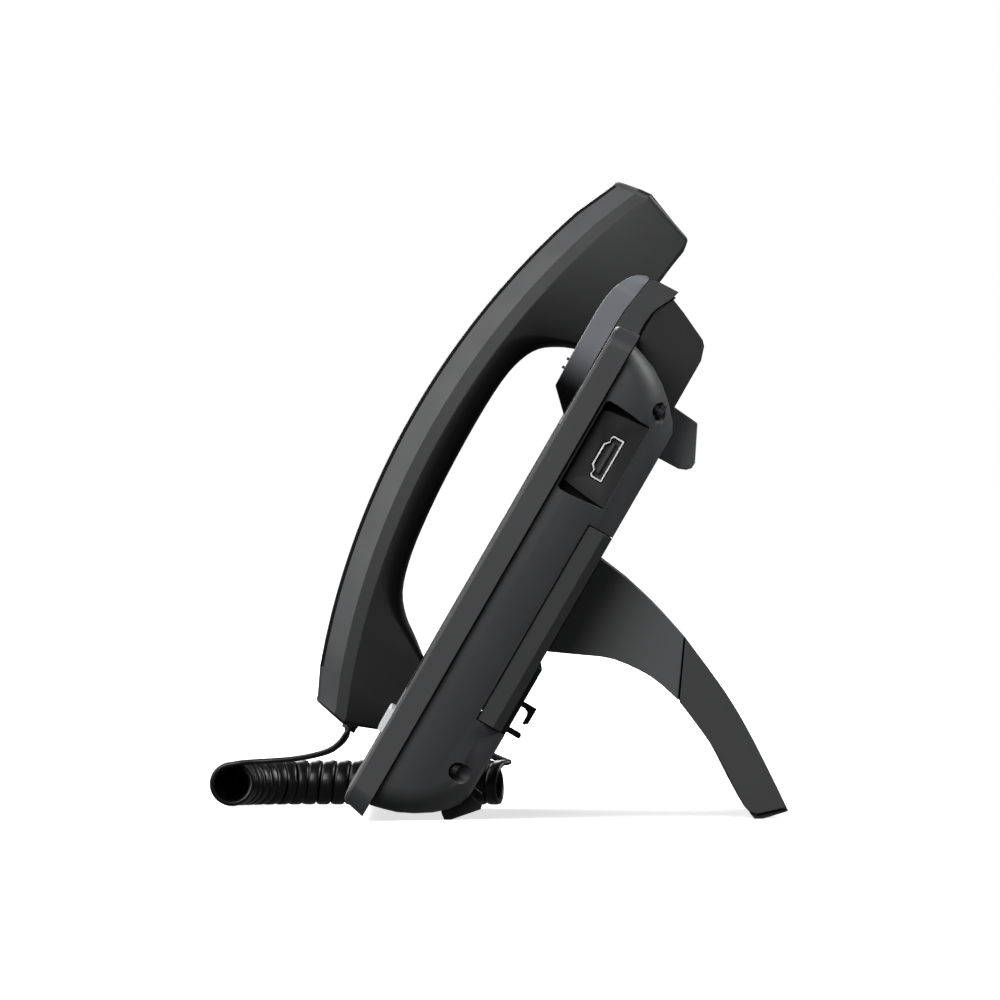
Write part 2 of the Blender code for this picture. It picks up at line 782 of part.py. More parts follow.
def make_shutter():
    frame = empty("shutter_frame", (TOWER_X + SHUTTER_TRAVEL, 0, CAMERA_AXIS.z), PHONE)
    low = -18.3 * MM
    width = 8.2 * MM
    shutter = box(
        "privacy_shutter", (-width, -5.9 * MM, low), (width, -5.1 * MM, 7.3 * MM), "black_plastic", frame
    )
    height = SHUTTER_KNOB.z - CAMERA_AXIS.z
    knob = box(
        "knob_base",
        (-3 * MM, -7.6 * MM, height - 2.1 * MM),
        (3 * MM, -5.5 * MM, height + 2.1 * MM),
        parent=frame,
    )
    join(shutter, knob)
    for index, offset in enumerate((-1.6, 1.5)):
        rib = box(
            f"knob_rib_{index}",
            (-3 * MM, -8.5 * MM, height + (offset - 0.45) * MM),
            (3 * MM, -7 * MM, height + (offset + 0.45) * MM),
            parent=frame,
        )
        join(shutter, rib)
    return shutter


def make_camera():
    frame = empty("camera_frame", CAMERA_AXIS, PHONE)
    barrel = cylinder(
        "camera_barrel",
        (-13.4 * MM, 0, 0),
        (13.4 * MM, 0, 0),
        BARREL_RADIUS,
        "black_plastic",
        frame,
        sides=40,
    )
    pin = cylinder("barrel_pin", (-17.5 * MM, 0, 0), (17.5 * MM, 0, 0), 2 * MM, parent=frame, sides=20)
    join(barrel, pin)
    bore = cylinder("barrel_bore", (0, -12 * MM, 0), (0, -5.5 * MM, 0), 6.5 * MM, parent=frame)
    cut(barrel, bore)
    ring = cylinder("lens_ring", (0, -7.6 * MM, 0), (0, -5.8 * MM, 0), 6.2 * MM, "steel", frame)
    ring_hole = cylinder("ring_hole", (0, -9 * MM, 0), (0, -5 * MM, 0), 4.4 * MM, parent=frame)
    cut(ring, ring_hole)
    shape = bmesh.new()
    bmesh.ops.create_uvsphere(shape, u_segments=24, v_segments=12, radius=4.1 * MM)
    bmesh.ops.scale(shape, vec=(1, 0.3, 1), verts=shape.verts)
    lens = add_object("camera_lens", mesh_of(shape, "camera_lens"), "black_glass", frame)
    lens.location = (0, -7.1 * MM, 0)
    outline = [(y - CAMERA_AXIS.y, z - CAMERA_AXIS.z) for y, z in lever_outline()]
    slab("tilt_lever", outline, -7 * MM, 7 * MM, "side", "dark_plastic", frame)
    bracket = box(
        "camera_bracket",
        (TOWER_X - 17.5 * MM, -1.5 * MM, CAMERA_AXIS.z - 13 * MM),
        (TOWER_X + 17.5 * MM, 12 * MM, CAMERA_AXIS.z + 9.5 * MM),
        "steel",
        PHONE,
    )
    inside = box(
        "bracket_inside",
        (TOWER_X - 14.2 * MM, -5 * MM, CAMERA_AXIS.z - 11.5 * MM),
        (TOWER_X + 14.2 * MM, 20 * MM, CAMERA_AXIS.z + 20 * MM),
        parent=PHONE,
    )
    pin_holes = cylinder(
        "bracket_pin_holes",
        CAMERA_AXIS - Vector((30 * MM, 0, 0)),
        CAMERA_AXIS + Vector((30 * MM, 0, 0)),
        2.3 * MM,
        parent=PHONE,
        sides=20,
    )
    cut(bracket, inside, pin_holes)


# Inside pieces -------------------------------------------------------------------------------------


def make_inside():
    glass_left = TOWER_X - GLASS_WIDTH / 2
    glass_right = TOWER_X + GLASS_WIDTH / 2
    box(
        "display_glass",
        (glass_left, 0.1 * MM, GLASS_LOW),
        (glass_right, 0.1 * MM + GLASS_THICK, GLASS_HIGH),
        "black_glass",
        PHONE,
    )
    box(
        "display_panel",
        (glass_left + 5 * MM, 2.5 * MM, GLASS_LOW + 4 * MM),
        (glass_right - 5 * MM, 6.5 * MM, GLASS_HIGH - 4 * MM),
        "steel",
        PHONE,
    )
    box(
        "main_board",
        (-70 * MM, BOARD_DEPTH, 30 * MM),
        (122 * MM, BOARD_DEPTH + BOARD_THICK, 146 * MM),
        "board",
        PHONE,
    )
    reach = KEY_PITCH + KEY_SIZE.x / 2
    box(
        "key_board",
        (TOWER_X - reach, 5.4 * MM, KEY_HEIGHT - 6 * MM),
        (TOWER_X + reach, 7.0 * MM, KEY_HEIGHT + 6 * MM),
        "board",
        PHONE,
    )
    cylinder(
        "loudspeaker",
        (HANDSET_X, FRONT_WALL + GAP, 103.4 * MM),
        (HANDSET_X, 12 * MM, 103.4 * MM),
        20 * MM,
        "black_plastic",
        PHONE,
    )
    cylinder(
        "desk_microphone",
        (TOWER_X, FRONT_WALL + GAP, 12 * MM),
        (TOWER_X, 5.2 * MM, 12 * MM),
        3 * MM,
        "steel",
        PHONE,
        sides=16,
    )
    box_behind_board = BOARD_DEPTH + BOARD_THICK + GAP
    for name, (x, width) in zip(("network_socket_1", "network_socket_2", "power_socket"), BACK_SOCKETS):
        socket = box(
            name,
            (x - width / 2, box_behind_board, 123 * MM),
            (x + width / 2, UPPER_BACK - GAP, 136.5 * MM),
            "black_plastic" if name == "power_socket" else "steel",
            PHONE,
        )
        if name == "power_socket":
            height = 129.7 * MM
            mouth = cylinder(
                "power_mouth", (x, 22 * MM, height), (x, 40 * MM, height), 3.2 * MM, parent=PHONE, sides=24
            )
        else:
            mouth = box(
                name + "_mouth",
                (x - 6 * MM, 20 * MM, 125.2 * MM),
                (x + 6 * MM, 40 * MM, 133.4 * MM),
                parent=PHONE,
            )
        cut(socket, mouth)


def make_video_socket():
    shell = slab(
        "video_socket",
        video_outline(7.5 * MM, 2.75 * MM),
        SOCKET_X - 12 * MM,
        SOCKET_X + 0.2 * MM,
        "side",
        "steel",
        PHONE,
    )
    mouth = slab(
        "video_mouth",
        video_outline(7.0 * MM, 2.25 * MM),
        SOCKET_X - 10.5 * MM,
        SOCKET_X + OVER,
        "side",
        parent=PHONE,
    )
    cut(shell, mouth)
    box(
        "video_tongue",
        (SOCKET_X - 10.2 * MM, VIDEO_SOCKET.y - 0.2 * MM, VIDEO_SOCKET.z - 5.5 * MM),
        (SOCKET_X - 1.5 * MM, VIDEO_SOCKET.y + 0.8 * MM, VIDEO_SOCKET.z + 5.5 * MM),
        "black_plastic",
        PHONE,
    )


def make_screws():
    for index, (x, z) in enumerate(screw_places()):
        screw = cylinder(
            f"housing_screw_{index + 1}",
            (x, WELL_FLOOR + GAP, z),
            (x, WELL_FLOOR + 2 * MM, z),
            2.6 * MM,
            "steel",
            PHONE,
            sides=20,
        )
        shank = cylinder(
            f"screw_shank_{index}",
            (x, 10 * MM, z),
            (x, WELL_FLOOR + MM, z),
            SHANK_RADIUS,
            parent=PHONE,
            sides=12,
        )
        join(screw, shank)


def make_keys():
    for index, name in enumerate(("key_left", "key_middle", "key_right")):
        x = TOWER_X + (index - 1) * KEY_PITCH
        frame = empty(name + "_frame", (x, 0, KEY_HEIGHT), PHONE)
        half = KEY_SIZE / 2
        edge = 0.5 * MM
        rise = [(FRONT_WALL + GAP, half.z), (edge - KEY_PROUD, half.z), (-KEY_PROUD, half.z - edge)]
        outline = rise + [(y, -z) for y, z in reversed(rise)]
        key = slab(name, outline, -half.x, half.x, "side", "silver", frame)
        flange = box(
            name + "_flange",
            (-half.x - MM, FRONT_WALL + 0.25 * MM, -half.z - MM),
            (half.x + MM, FRONT_WALL + 1.2 * MM, half.z + MM),
            parent=frame,
        )
        join(key, flange)


def make_feet():
    for name, x in (("foot_left", -FOOT_X), ("foot_right", FOOT_X)):
        sole = [to_face(FACE_ORIGIN.y + 32.3 * MM, 0), to_face(FACE_ORIGIN.y + 34.5 * MM, 0)]
        outline = in_mm([(29.3, 11.9), (30, 11.2)]) + sole
        outline += in_mm([(39.9, 18.9), (39.6, 20.3), (35.2, 20.9), (34.2, 17.8), (31.8, 14.4)])
        slab(name, outline, x - FOOT_WIDTH / 2, x + FOOT_WIDTH / 2, "side", "rubber", PHONE)


def make_hook():
    frame = empty("hook_frame", HOOK_PLACE, PHONE)
    plunger = box(
        "hook_plunger",
        (-4 * MM, CRADLE_DEPTH + 0.1 * MM, -2.5 * MM),
        (4 * MM, 12.4 * MM, 2.5 * MM),
        "black_plastic",
        frame,
    )
    flange = box("hook_flange", (-6 * MM, 11.2 * MM, -4 * MM), (6 * MM, 12.4 * MM, 4 * MM), parent=frame)
    join(plunger, flange)


# Handset -------------------------------------------------------------------------------------------


def handset_facets(name, depth, reach):
    """What is left of a block after the long facets along the handset's outer edges are cut away."""
    half = HANDSET_WIDTH / 2
    shape = bmesh.new()
    rings = []
    for y, z in handset_arc(depth, HANDSET_LOW - 5 * MM, HANDSET_HIGH + 5 * MM, 16):
        profile = [
            (-half + 9.5 * MM, y - depth),
            (-half + 8.5 * MM, y - depth + 1.2 * MM),
            (-half + 2.2 * MM, y - depth + 7.7 * MM),
            (-half, y - depth + HANDSET_SPLIT),
            (-half, y - depth + reach),
        ]
        profile += [(-x, place) for x, place in reversed(profile)]
        rings.append([shape.verts.new((x, place, z)) for x, place in profile])
    count = len(rings[0])
    for ring, following in zip(rings, rings[1:]):
        for index in range(count):
            after = (index + 1) % count
            shape.faces.new((ring[index], ring[after], following[after], following[index]))
    shape.faces.new(rings[0])
    shape.faces.new(rings[-1])
    bmesh.ops.recalc_face_normals(shape, faces=shape.faces)
    frame = bpy.data.objects["handset_frame"]
    obj = add_object(name, mesh_of(shape, name), parent=frame)
    return obj


def handset_band(name, low, high):
    """A block that follows the outer arc, from one depth under it to another."""
    outline = handset_arc(low, HANDSET_LOW - 8 * MM, HANDSET_HIGH + 8 * MM, 16)
    outline += reversed(handset_arc(high, HANDSET_LOW - 8 * MM, HANDSET_HIGH + 8 * MM, 16))
    frame = bpy.data.objects["handset_frame"]
    return slab(name, outline, -40 * MM, 40 * MM, "side", parent=frame)


def make_handset():
    frame = empty("handset_frame", (HANDSET_X, 0, 0), PHONE)
    half = HANDSET_WIDTH / 2
    back = slab("handset_back_shell", handset_outline(), -half, half, "side", "dark_plastic", frame)
    face = slab("handset_face_shell", handset_outline(), -half, half, "side", "dark_plastic", frame)
    facets = handset_facets("handset_facets", 0, 60 * MM)
    back_band = handset_band("back_band", -6 * MM, HANDSET_SPLIT - GAP / 2)
    face_band = handset_band("face_band", HANDSET_SPLIT + GAP / 2, 70 * MM)
    hollow = slab(
        "handset_hollow",
        handset_inner_outline(),
        HANDSET_WALL - half,
        half - HANDSET_WALL,
        "side",
        parent=frame,
    )
    hollow_facets = handset_facets("hollow_facets", 0, 60 * MM)
    hollow_facets.scale = ((half - HANDSET_WALL) / half, 1, 1)
    hollow_facets.location = (0, HANDSET_WALL * 1.1, 0)
    keep(hollow, hollow_facets)
    keep(back, facets, back_band)
    keep(face, face_band)
    cut(back, hollow)
    cut(face, hollow)
    for ring, count in ((4.2 * MM, 6), (8.4 * MM, 12)):
        for step in range(count):
            turn = 2 * math.pi * step / count
            x = ring * math.cos(turn)
            z = EAR_CENTRE.z + ring * math.sin(turn)
            hole = cylinder(
                f"ear_hole_{count}_{step}",
                (x, -6 * MM, z),
                (x, 14 * MM, z),
                0.9 * MM,
                parent=frame,
                sides=8,
            )
            cut(face, hole)
    mouth_hole = box(
        "mouth_slot", (-4 * MM, -2 * MM, 33.4 * MM), (4 * MM, 6 * MM, 34.8 * MM), parent=frame
    )
    jack_hole = box(
        "jack_hole", (-4.3 * MM, -13 * MM, 10 * MM), (4.3 * MM, -6.2 * MM, 33 * MM), parent=frame
    )
    cut(face, mouth_hole, jack_hole)
    cut(back, jack_hole)
    cylinder(
        "receiver", EAR_CENTRE + Vector((0, -12, 0)) * MM, EAR_CENTRE + Vector((0, -4, 0)) * MM, 15 * MM,
        "black_plastic", frame,
    )
    low = Vector((0, -3.2 * MM, 34 * MM))
    cylinder("handset_microphone", low, low + Vector((0, 3.3 * MM, 0)), 4 * MM, "steel", frame, sides=20)
    reach = half - 11 * MM
    box(
        "handset_weight", (-reach, -38 * MM, 98 * MM), (reach, -30.5 * MM, 140 * MM), "steel", frame
    )
    jack = box(
        "handset_jack",
        (-5.6 * MM, -14.3 * MM, 22.3 * MM),
        (5.6 * MM, -5.3 * MM, 34 * MM),
        "black_plastic",
        frame,
    )
    jack_mouth = box(
        "jack_mouth", (-4.2 * MM, -12.9 * MM, 18 * MM), (4.2 * MM, -6.7 * MM, 32.6 * MM), parent=frame
    )
    cut(jack, jack_mouth)
    plug = box(
        "handset_plug",
        (-3.8 * MM, -12.5 * MM, 18.2 * MM),
        (3.8 * MM, -7.1 * MM, 32.0 * MM),
        "black_plastic",
        frame,
    )
    boot = cylinder(
        "handset_plug_boot",
        (0, -9.6 * MM, 19 * MM),
        (0, -9.6 * MM, 16.2 * MM),
        2.4 * MM,
        parent=frame,
        sides=16,
    )
    join(plug, boot)


# Stand ---------------------------------------------------------------------------------------------


def stand_line(points):
    """World points of the side view, given from the front edge of the table line."""
    return [((y + FACE_TO_TABLE) * MM, z * MM) for y, z in points]


def make_stand():
    root = UPPER_BACK + GAP
    low = to_world(root, STAND_LOW)
    high = to_world(root, STAND_HIGH)
    top = stand_line(smooth_line([(41.4, 77.0), (50.6, 68.4), (59.3, 58.9)], 3))
    under = stand_line(smooth_line([(57.3, 38.3), (48.6, 45.8), (36.7, 51.4), (26.5, 52.8)], 3))
    arm = slab(
        "stand_arm", [high] + top + under + [low], -STAND_HALF, STAND_HALF, "side", "dark_plastic"
    )
    wall_low = to_world(root + STAND_WALL, STAND_LOW - 6 * MM)
    wall_high = to_world(root + STAND_WALL, STAND_HIGH - 5.6 * MM)
    inside = stand_line([(39.5, 73.4), (48.3, 65.2), (56.2, 56.6), (54.4, 36), (46, 40), (24, 47)])
    arm_hollow = slab(
        "stand_arm_hollow",
        [wall_high] + inside + [wall_low],
        STAND_WALL - STAND_HALF,
        STAND_HALF - STAND_WALL,
        "side",
    )
    cut(arm, arm_hollow)
    for side in (-1, 1):
        x = side * 57 * MM
        neck = box(
            f"stand_neck_{side + 2}",
            (x - 6 * MM, UPPER_BACK - COVER_WALL - 1.2 * MM, STAND_LOW + 17.3 * MM),
            (x + 6 * MM, root + MM, STAND_LOW + 22.3 * MM),
            parent=PHONE,
        )
        catch = box(
            f"stand_catch_{side + 2}",
            (x - 6 * MM, UPPER_BACK - COVER_WALL - 2.6 * MM, STAND_LOW + 17.3 * MM),
            (x + 6 * MM, UPPER_BACK - COVER_WALL - GAP, STAND_LOW + 26.4 * MM),
            parent=PHONE,
        )
        join(arm, neck, catch)
    outside = [(59.7, 58.5), (70.1, 44.5), (76.2, 35.2), (81.3, 26.1), (87.3, 14.2), (92.4, 3.7)]
    leg_top = stand_line(smooth_line(outside, 3))
    leg_foot = stand_line([(82.6, 1.5), (80.2, 2.5)])
    beneath = [(78.7, 3.9), (75.4, 10), (69.5, 21.4), (63.5, 30.2), (57.75, 37.7)]
    leg_under = stand_line(smooth_line(beneath, 3))
    leg = slab("stand_leg", leg_top + leg_foot + leg_under, -STAND_HALF, STAND_HALF, "side", "dark_plastic")
    inside = [(59.6, 53.5), (67.5, 43), (73.5, 33.8), (78.5, 25), (84.6, 12.6), (87, 7), (83, 5.6)]
    leg_hollow = slab(
        "stand_leg_hollow",
        stand_line(inside + [(70, 8), (55, 30), (58.4, 40)]),
        STAND_WALL - STAND_HALF,
        STAND_HALF - STAND_WALL,
        "side",
    )
    cut(leg, leg_hollow)
    pad = stand_line([(92.9, 2.5), (92.5, 3.4), (82.7, 1.2), (80.6, 2.0), (80.9, 1.3), (82, 0), (84.6, 0)])
    slab("stand_pad", pad, 2 * MM - STAND_HALF, STAND_HALF - 2 * MM, "side", "rubber")


# Cord ----------------------------------------------------------------------------------------------


def coil_line():
    """Centre line of the coil: it faces right at first, bends back beside the phone and turns in."""
    height = COIL_RADIUS + 0.1 * MM
    points = [(-119.0 * MM, (FACE_TO_TABLE - 89.0) * MM, height)]
    bend = 28.0 * MM
    centre = (-122.0 * MM, (FACE_TO_TABLE - 61.0) * MM)
    for step in range(10):
        turn = math.radians(270 - 90 * step / 9)
        points.append((centre[0] + bend * math.cos(turn), centre[1] + bend * math.sin(turn), height))
    bend = 40.0 * MM
    centre = (-110.0 * MM, (FACE_TO_TABLE - 14.7) * MM)
    for step in range(4):
        turn = math.radians(180 - 22 * step / 3)
        points.append((centre[0] + bend * math.cos(turn), centre[1] + bend * math.sin(turn), height))
    return points


def make_cord():
    tube("cord_coil", coil_line(), COIL_RADIUS, "rubber")
    handset_route = [
        (-107, -50.6, 24.4),
        (-107.4, -52.6, 21.6),
        (-108.6, -56.4, 18.9),
        (-110.6, -61.8, 17.2),
        (-113.0, -68.6, 16.0),
        (-115.0, -75.4, 15.4),
        (-116.1, -80.6, 15.1),
    ]
    tube("cord_lead_handset", cord_points(handset_route), CORD_RADIUS, "rubber")
    base_route = [
        (-147.6, -13.0, 37.4),
        (-151.6, -12.4, 36.4),
        (-155.4, -10.8, 32.6),
        (-156.9, -8.2, 27.0),
        (-156.0, -5.6, 21.4),
        (-153.4, -4.2, 17.4),
    ]
    tube("cord_lead_base", cord_points(base_route), CORD_RADIUS, "rubber")


def cord_points(route):
    line = smooth_line(route, 3)
    return [(x * MM, (y + FACE_TO_TABLE) * MM, z * MM) for x, y, z in line]


def make_cord_socket():
    place = CORD_SOCKET
    socket = box(
        "cord_socket",
        (place.x + 0.6 * MM, place.y - 3.0 * MM, place.z - 3.9 * MM),
        (place.x + 16 * MM, place.y + 3.0 * MM, place.z + 3.9 * MM),
        "black_plastic",
        PHONE,
    )
    mouth = box(
        "cord_socket_mouth",
        (place.x - 2 * MM, place.y - 2.4 * MM, place.z - 3.3 * MM),
        (place.x + 14 * MM, place.y + 2.4 * MM, place.z + 3.3 * MM),
        parent=PHONE,
    )
    cut(socket, mouth)
    plug = box(
        "base_plug",
        (place.x - 3 * MM, place.y - 2.1 * MM, place.z - 3.0 * MM),
        (place.x + 12 * MM, place.y + 2.1 * MM, place.z + 3.0 * MM),
        "black_plastic",
        PHONE,
    )
    boot = cylinder(
        "base_plug_boot",
        (place.x - 2 * MM, place.y, place.z),
        (place.x - 13 * MM, place.y, place.z),
        3 * MM,
        parent=PHONE,
        end_radius=1.9 * MM,
        sides=16,
    )
    join(plug, boot)


clear_scene()
PARTS = new_collection("video_telephone")
CUTTERS = new_collection("cutters")
PHONE = empty("phone_frame", FACE_ORIGIN)
PHONE.rotation_euler = (-FACE_LEAN, 0, 0)

make_front_shell()
make_rear_housing()
make_rear_cover()
make_camera_hood()
make_shutter()
make_camera()
make_inside()
make_video_socket()
make_screws()
make_keys()
make_feet()
make_hook()
make_handset()
make_stand()
make_cord()
make_cord_socket()
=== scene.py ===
# %% [markdown]
# # A desk video telephone
#
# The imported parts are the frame: each already has its place and the body that it moves with. This file
# gives them their looks. Blender's lengths are in metres, so 5 * MM is five millimetres. Outlines and
# places on the telephone's face are in plain millimetres, and one helper turns them into world places.

# %% Load the frame
import json
import math

import bpy
from mathutils import Matrix, Vector

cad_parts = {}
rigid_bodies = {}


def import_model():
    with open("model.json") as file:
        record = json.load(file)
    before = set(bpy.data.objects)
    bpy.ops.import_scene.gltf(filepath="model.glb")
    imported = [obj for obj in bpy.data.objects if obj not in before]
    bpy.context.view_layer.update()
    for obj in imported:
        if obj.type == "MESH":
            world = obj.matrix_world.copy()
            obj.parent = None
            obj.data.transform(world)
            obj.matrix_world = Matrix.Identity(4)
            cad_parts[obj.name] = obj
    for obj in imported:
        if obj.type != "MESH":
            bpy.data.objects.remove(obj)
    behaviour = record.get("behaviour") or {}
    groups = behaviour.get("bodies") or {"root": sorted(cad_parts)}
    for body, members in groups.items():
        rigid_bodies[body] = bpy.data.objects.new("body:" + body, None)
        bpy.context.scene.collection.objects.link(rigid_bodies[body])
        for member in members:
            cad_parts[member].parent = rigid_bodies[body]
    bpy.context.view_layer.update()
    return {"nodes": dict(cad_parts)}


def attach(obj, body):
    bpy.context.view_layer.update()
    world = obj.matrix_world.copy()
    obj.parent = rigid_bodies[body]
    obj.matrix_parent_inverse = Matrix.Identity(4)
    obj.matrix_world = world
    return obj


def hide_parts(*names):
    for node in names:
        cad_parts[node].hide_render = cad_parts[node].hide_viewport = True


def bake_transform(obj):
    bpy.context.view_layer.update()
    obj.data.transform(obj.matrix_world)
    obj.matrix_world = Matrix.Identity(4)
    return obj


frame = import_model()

MM = 0.001

# A new Blender file holds a cube, a camera and a light, which aren't part of the telephone.
for leftover in list(bpy.data.objects):
    if leftover.type in ("CAMERA", "LIGHT") or leftover.name == "Cube":
        bpy.data.objects.remove(leftover)

# %% [markdown]
# ## The camera
#
# The telephone is seen square from its right side, from far away with a long lens, so its outline is nearly
# flat. A perspective camera keeps a little of the depth: the handset on the far side looks slightly smaller.

# %% Side view with a long lens
CAMERA_PLACE = Vector((7.0, -0.01576, 0.1312))
CAMERA_PITCH = 0.004125
LENS = 772.0

camera_data = bpy.data.cameras.new("side_camera")
camera_data.lens = LENS
camera_data.sensor_width = 36
camera_data.clip_end = 60
camera = bpy.data.objects.new("side_camera", camera_data)
bpy.context.scene.collection.objects.link(camera)
looking = Vector((-math.cos(CAMERA_PITCH), 0, -math.sin(CAMERA_PITCH)))
camera.rotation_euler = looking.to_track_quat("-Z", "Y").to_euler()
camera.location = CAMERA_PLACE
bpy.context.scene.camera = camera
print("camera:", LENS, "mm lens at", tuple(CAMERA_PLACE))

# %% [markdown]
# ## The leaning face
#
# The screen leans back by 30 degrees. Most pieces are easier to place in the face's own directions: x to the
# right, depth into the telephone and height up along the screen. One helper turns such a place, in
# millimetres, into a place in the world, and another turns a place in the world back.

# %% Face directions
FACE_LEAN = math.radians(30)
FACE_ORIGIN = Vector((0, -66.0 * MM, 6.9 * MM))
FACE_TURN = Matrix.Translation(FACE_ORIGIN) @ Matrix.Rotation(-FACE_LEAN, 4, "X")
INTO = FACE_TURN.to_3x3() @ Vector((0, 1, 0))
UP = FACE_TURN.to_3x3() @ Vector((0, 0, 1))
CORD_FOOT = -50.24
TABLE_SHIFT = FACE_ORIGIN.y / MM - CORD_FOOT


def face(x, depth, height):
    """World place of a point given in millimetres in the face's directions."""
    return FACE_TURN @ Vector((x * MM, depth * MM, height * MM))


def on_face(place):
    """The face's x, depth and height, in millimetres, of a world place."""
    return (FACE_TURN.inverted() @ place) / MM


print("face leans", round(math.degrees(FACE_LEAN)), "degrees")

# %% [markdown]
# ## Finishes
#
# Moulded plastic isn't one flat colour. Its tool is spark-eroded, which leaves a fine grain, and the gloss
# drifts a little over a large wall. Each finish below is a Principled shader with the grain as a bump, a
# slow change of roughness and a slight change of colour. A Bevel node rounds the light along sharp edges.


# %% A helper for moulded finishes
def nodes_of(name):
    """A new material with its tree and its Principled shader."""
    material = bpy.data.materials.new(name)
    material.use_nodes = True
    tree = material.node_tree
    return material, tree, tree.nodes["Principled BSDF"]


def mottle(tree, place, scale, low, high, detail=2):
    """Noise over Object coordinates, mapped from low to high."""
    noise = tree.nodes.new("ShaderNodeTexNoise")
    noise.inputs["Scale"].default_value = scale
    noise.inputs["Detail"].default_value = detail
    tree.links.new(place, noise.inputs["Vector"])
    spread = tree.nodes.new("ShaderNodeMapRange")
    spread.inputs["From Min"].default_value = 0.3
    spread.inputs["From Max"].default_value = 0.7
    spread.inputs["To Min"].default_value = low
    spread.inputs["To Max"].default_value = high
    tree.links.new(noise.outputs["Fac"], spread.inputs["Value"])
    return noise.outputs["Fac"], spread.outputs["Result"]


def moulded(name, dark, light, rough, grain, grain_scale=2600, edge=0.35 * MM, coat=0.0, shine=0.5):
    """Grained plastic or rubber. dark and light are the ends of its slight colour drift."""
    material, tree, shader = nodes_of(name)
    place = tree.nodes.new("ShaderNodeTexCoord").outputs["Object"]
    drift, _ = mottle(tree, place, 38, 0, 1)
    ramp = tree.nodes.new("ShaderNodeValToRGB")
    ramp.color_ramp.elements[0].position = 0.3
    ramp.color_ramp.elements[0].color = (*dark, 1)
    ramp.color_ramp.elements[1].position = 0.7
    ramp.color_ramp.elements[1].color = (*light, 1)
    tree.links.new(drift, ramp.inputs["Fac"])
    tree.links.new(ramp.outputs["Color"], shader.inputs["Base Color"])
    _, roughness = mottle(tree, place, 90, rough - 0.03, rough + 0.03)
    tree.links.new(roughness, shader.inputs["Roughness"])
    shader.inputs["Specular IOR Level"].default_value = shine
    shader.inputs["Coat Weight"].default_value = coat
    shader.inputs["Coat Roughness"].default_value = 0.08
    pits, _ = mottle(tree, place, grain_scale, 0, 1, 1)
    bump = tree.nodes.new("ShaderNodeBump")
    bump.inputs["Strength"].default_value = grain
    bump.inputs["Distance"].default_value = 0.05 * MM
    tree.links.new(pits, bump.inputs["Height"])
    if edge:
        rounding = tree.nodes.new("ShaderNodeBevel")
        rounding.inputs["Radius"].default_value = edge
        tree.links.new(rounding.outputs["Normal"], bump.inputs["Normal"])
    tree.links.new(bump.outputs["Normal"], shader.inputs["Normal"])
    return material


# %% [markdown]
# The outside is made of several plastics, each from its own tool. The rear housing has a coarser grain than
# the front shell and the handset, and the camera's hood is glossy. Some finishes below are lighter or darker
# copies of one plastic that paint light or shade onto a part, as noted at each. A dull black is painted shade
# for what lies deep in a slit, where no light comes out again.

# %% The plastics and the rubber
shell_plastic = moulded(
    "dark_shell_plastic", (0.027, 0.0272, 0.0288), (0.0305, 0.0308, 0.0324), 0.46, 0.28, shine=0.38
)
back_plastic = moulded(
    "housing_plastic", (0.0385, 0.0389, 0.0408), (0.043, 0.0435, 0.0454), 0.5, 0.34, 2100, shine=0.38
)
# Painted shade: the cover is a darker copy of the housing's plastic, so its chamfered side, which faces the
# light, still looks darker.
cover_painted_shade_plastic = moulded(
    "cover_painted_shade_plastic", (0.0165, 0.0168, 0.0177), (0.0195, 0.0199, 0.0208), 0.55, 0.34, 2100, shine=0.38
)
# Painted shade: a darker, duller copy of the housing's plastic for the tower's sides and the recess floor,
# which lie in the hood's shade and in the recess.
tower_recess_painted_shade = moulded(
    "tower_recess_painted_shade", (0.011, 0.0112, 0.0117), (0.013, 0.0132, 0.0138), 0.55, 0.34, 2100, shine=0.25
)
# Painted light and shade: the stand's arm and leg are one plastic, the arm made lighter to make up for the
# housing's shadow on it, and the leg made darker.
painted_light_arm = moulded("stand_arm_painted_light_plastic", (0.048, 0.0486, 0.0508), (0.053, 0.0536, 0.056), 0.5, 0.34, 2100)
painted_shade_leg = moulded("stand_leg_painted_shade_plastic", (0.016, 0.0162, 0.017), (0.019, 0.0193, 0.0202), 0.52, 0.34, 2100)
# Painted light: the lever is a much lighter copy of the housing's plastic, to make up for the hump's shade on
# it.
lever_painted_light_plastic = moulded("lever_painted_light_plastic", (0.14, 0.142, 0.148), (0.155, 0.157, 0.163), 0.46, 0.3)
handset_plastic = moulded(
    "handset_plastic", (0.0115, 0.012, 0.0137), (0.0135, 0.0142, 0.0159), 0.42, 0.2
)
# Painted shade: darker copies of the handset's plastic for the flank beyond each facet and for the rim of the
# ear end.
painted_shade_flank = moulded(
    "handset_flank_painted_shade_plastic", (0.003, 0.0032, 0.0037), (0.004, 0.0042, 0.0047), 0.5, 0.2, shine=0.4
)
painted_shade_rim = moulded("handset_rim_painted_shade_plastic", (0.004, 0.0041, 0.0044), (0.005, 0.0051, 0.0054), 0.5, 0.2)
grip_plastic = moulded("grip_plastic", (0.0145, 0.0149, 0.0158), (0.017, 0.0175, 0.0184), 0.46, 0.2)
# The hood's smoky grey is partly its own colour and partly painted reflection, lightened to stand in for the
# gloss on its side.
hood_gloss = moulded(
    "camera_hood_gloss", (0.13, 0.138, 0.149), (0.142, 0.15, 0.161), 0.34, 0.04, 1500, coat=0.15
)
tongue_grey = moulded("socket_tongue_plastic", (0.012, 0.012, 0.0125), (0.016, 0.016, 0.0165), 0.45, 0.1)
socket_black = moulded("socket_black_plastic", (0.008, 0.008, 0.009), (0.012, 0.012, 0.013), 0.4, 0.15)
foot_rubber = moulded("foot_rubber", (0.012, 0.012, 0.012), (0.018, 0.018, 0.018), 0.75, 0.5, 1800)
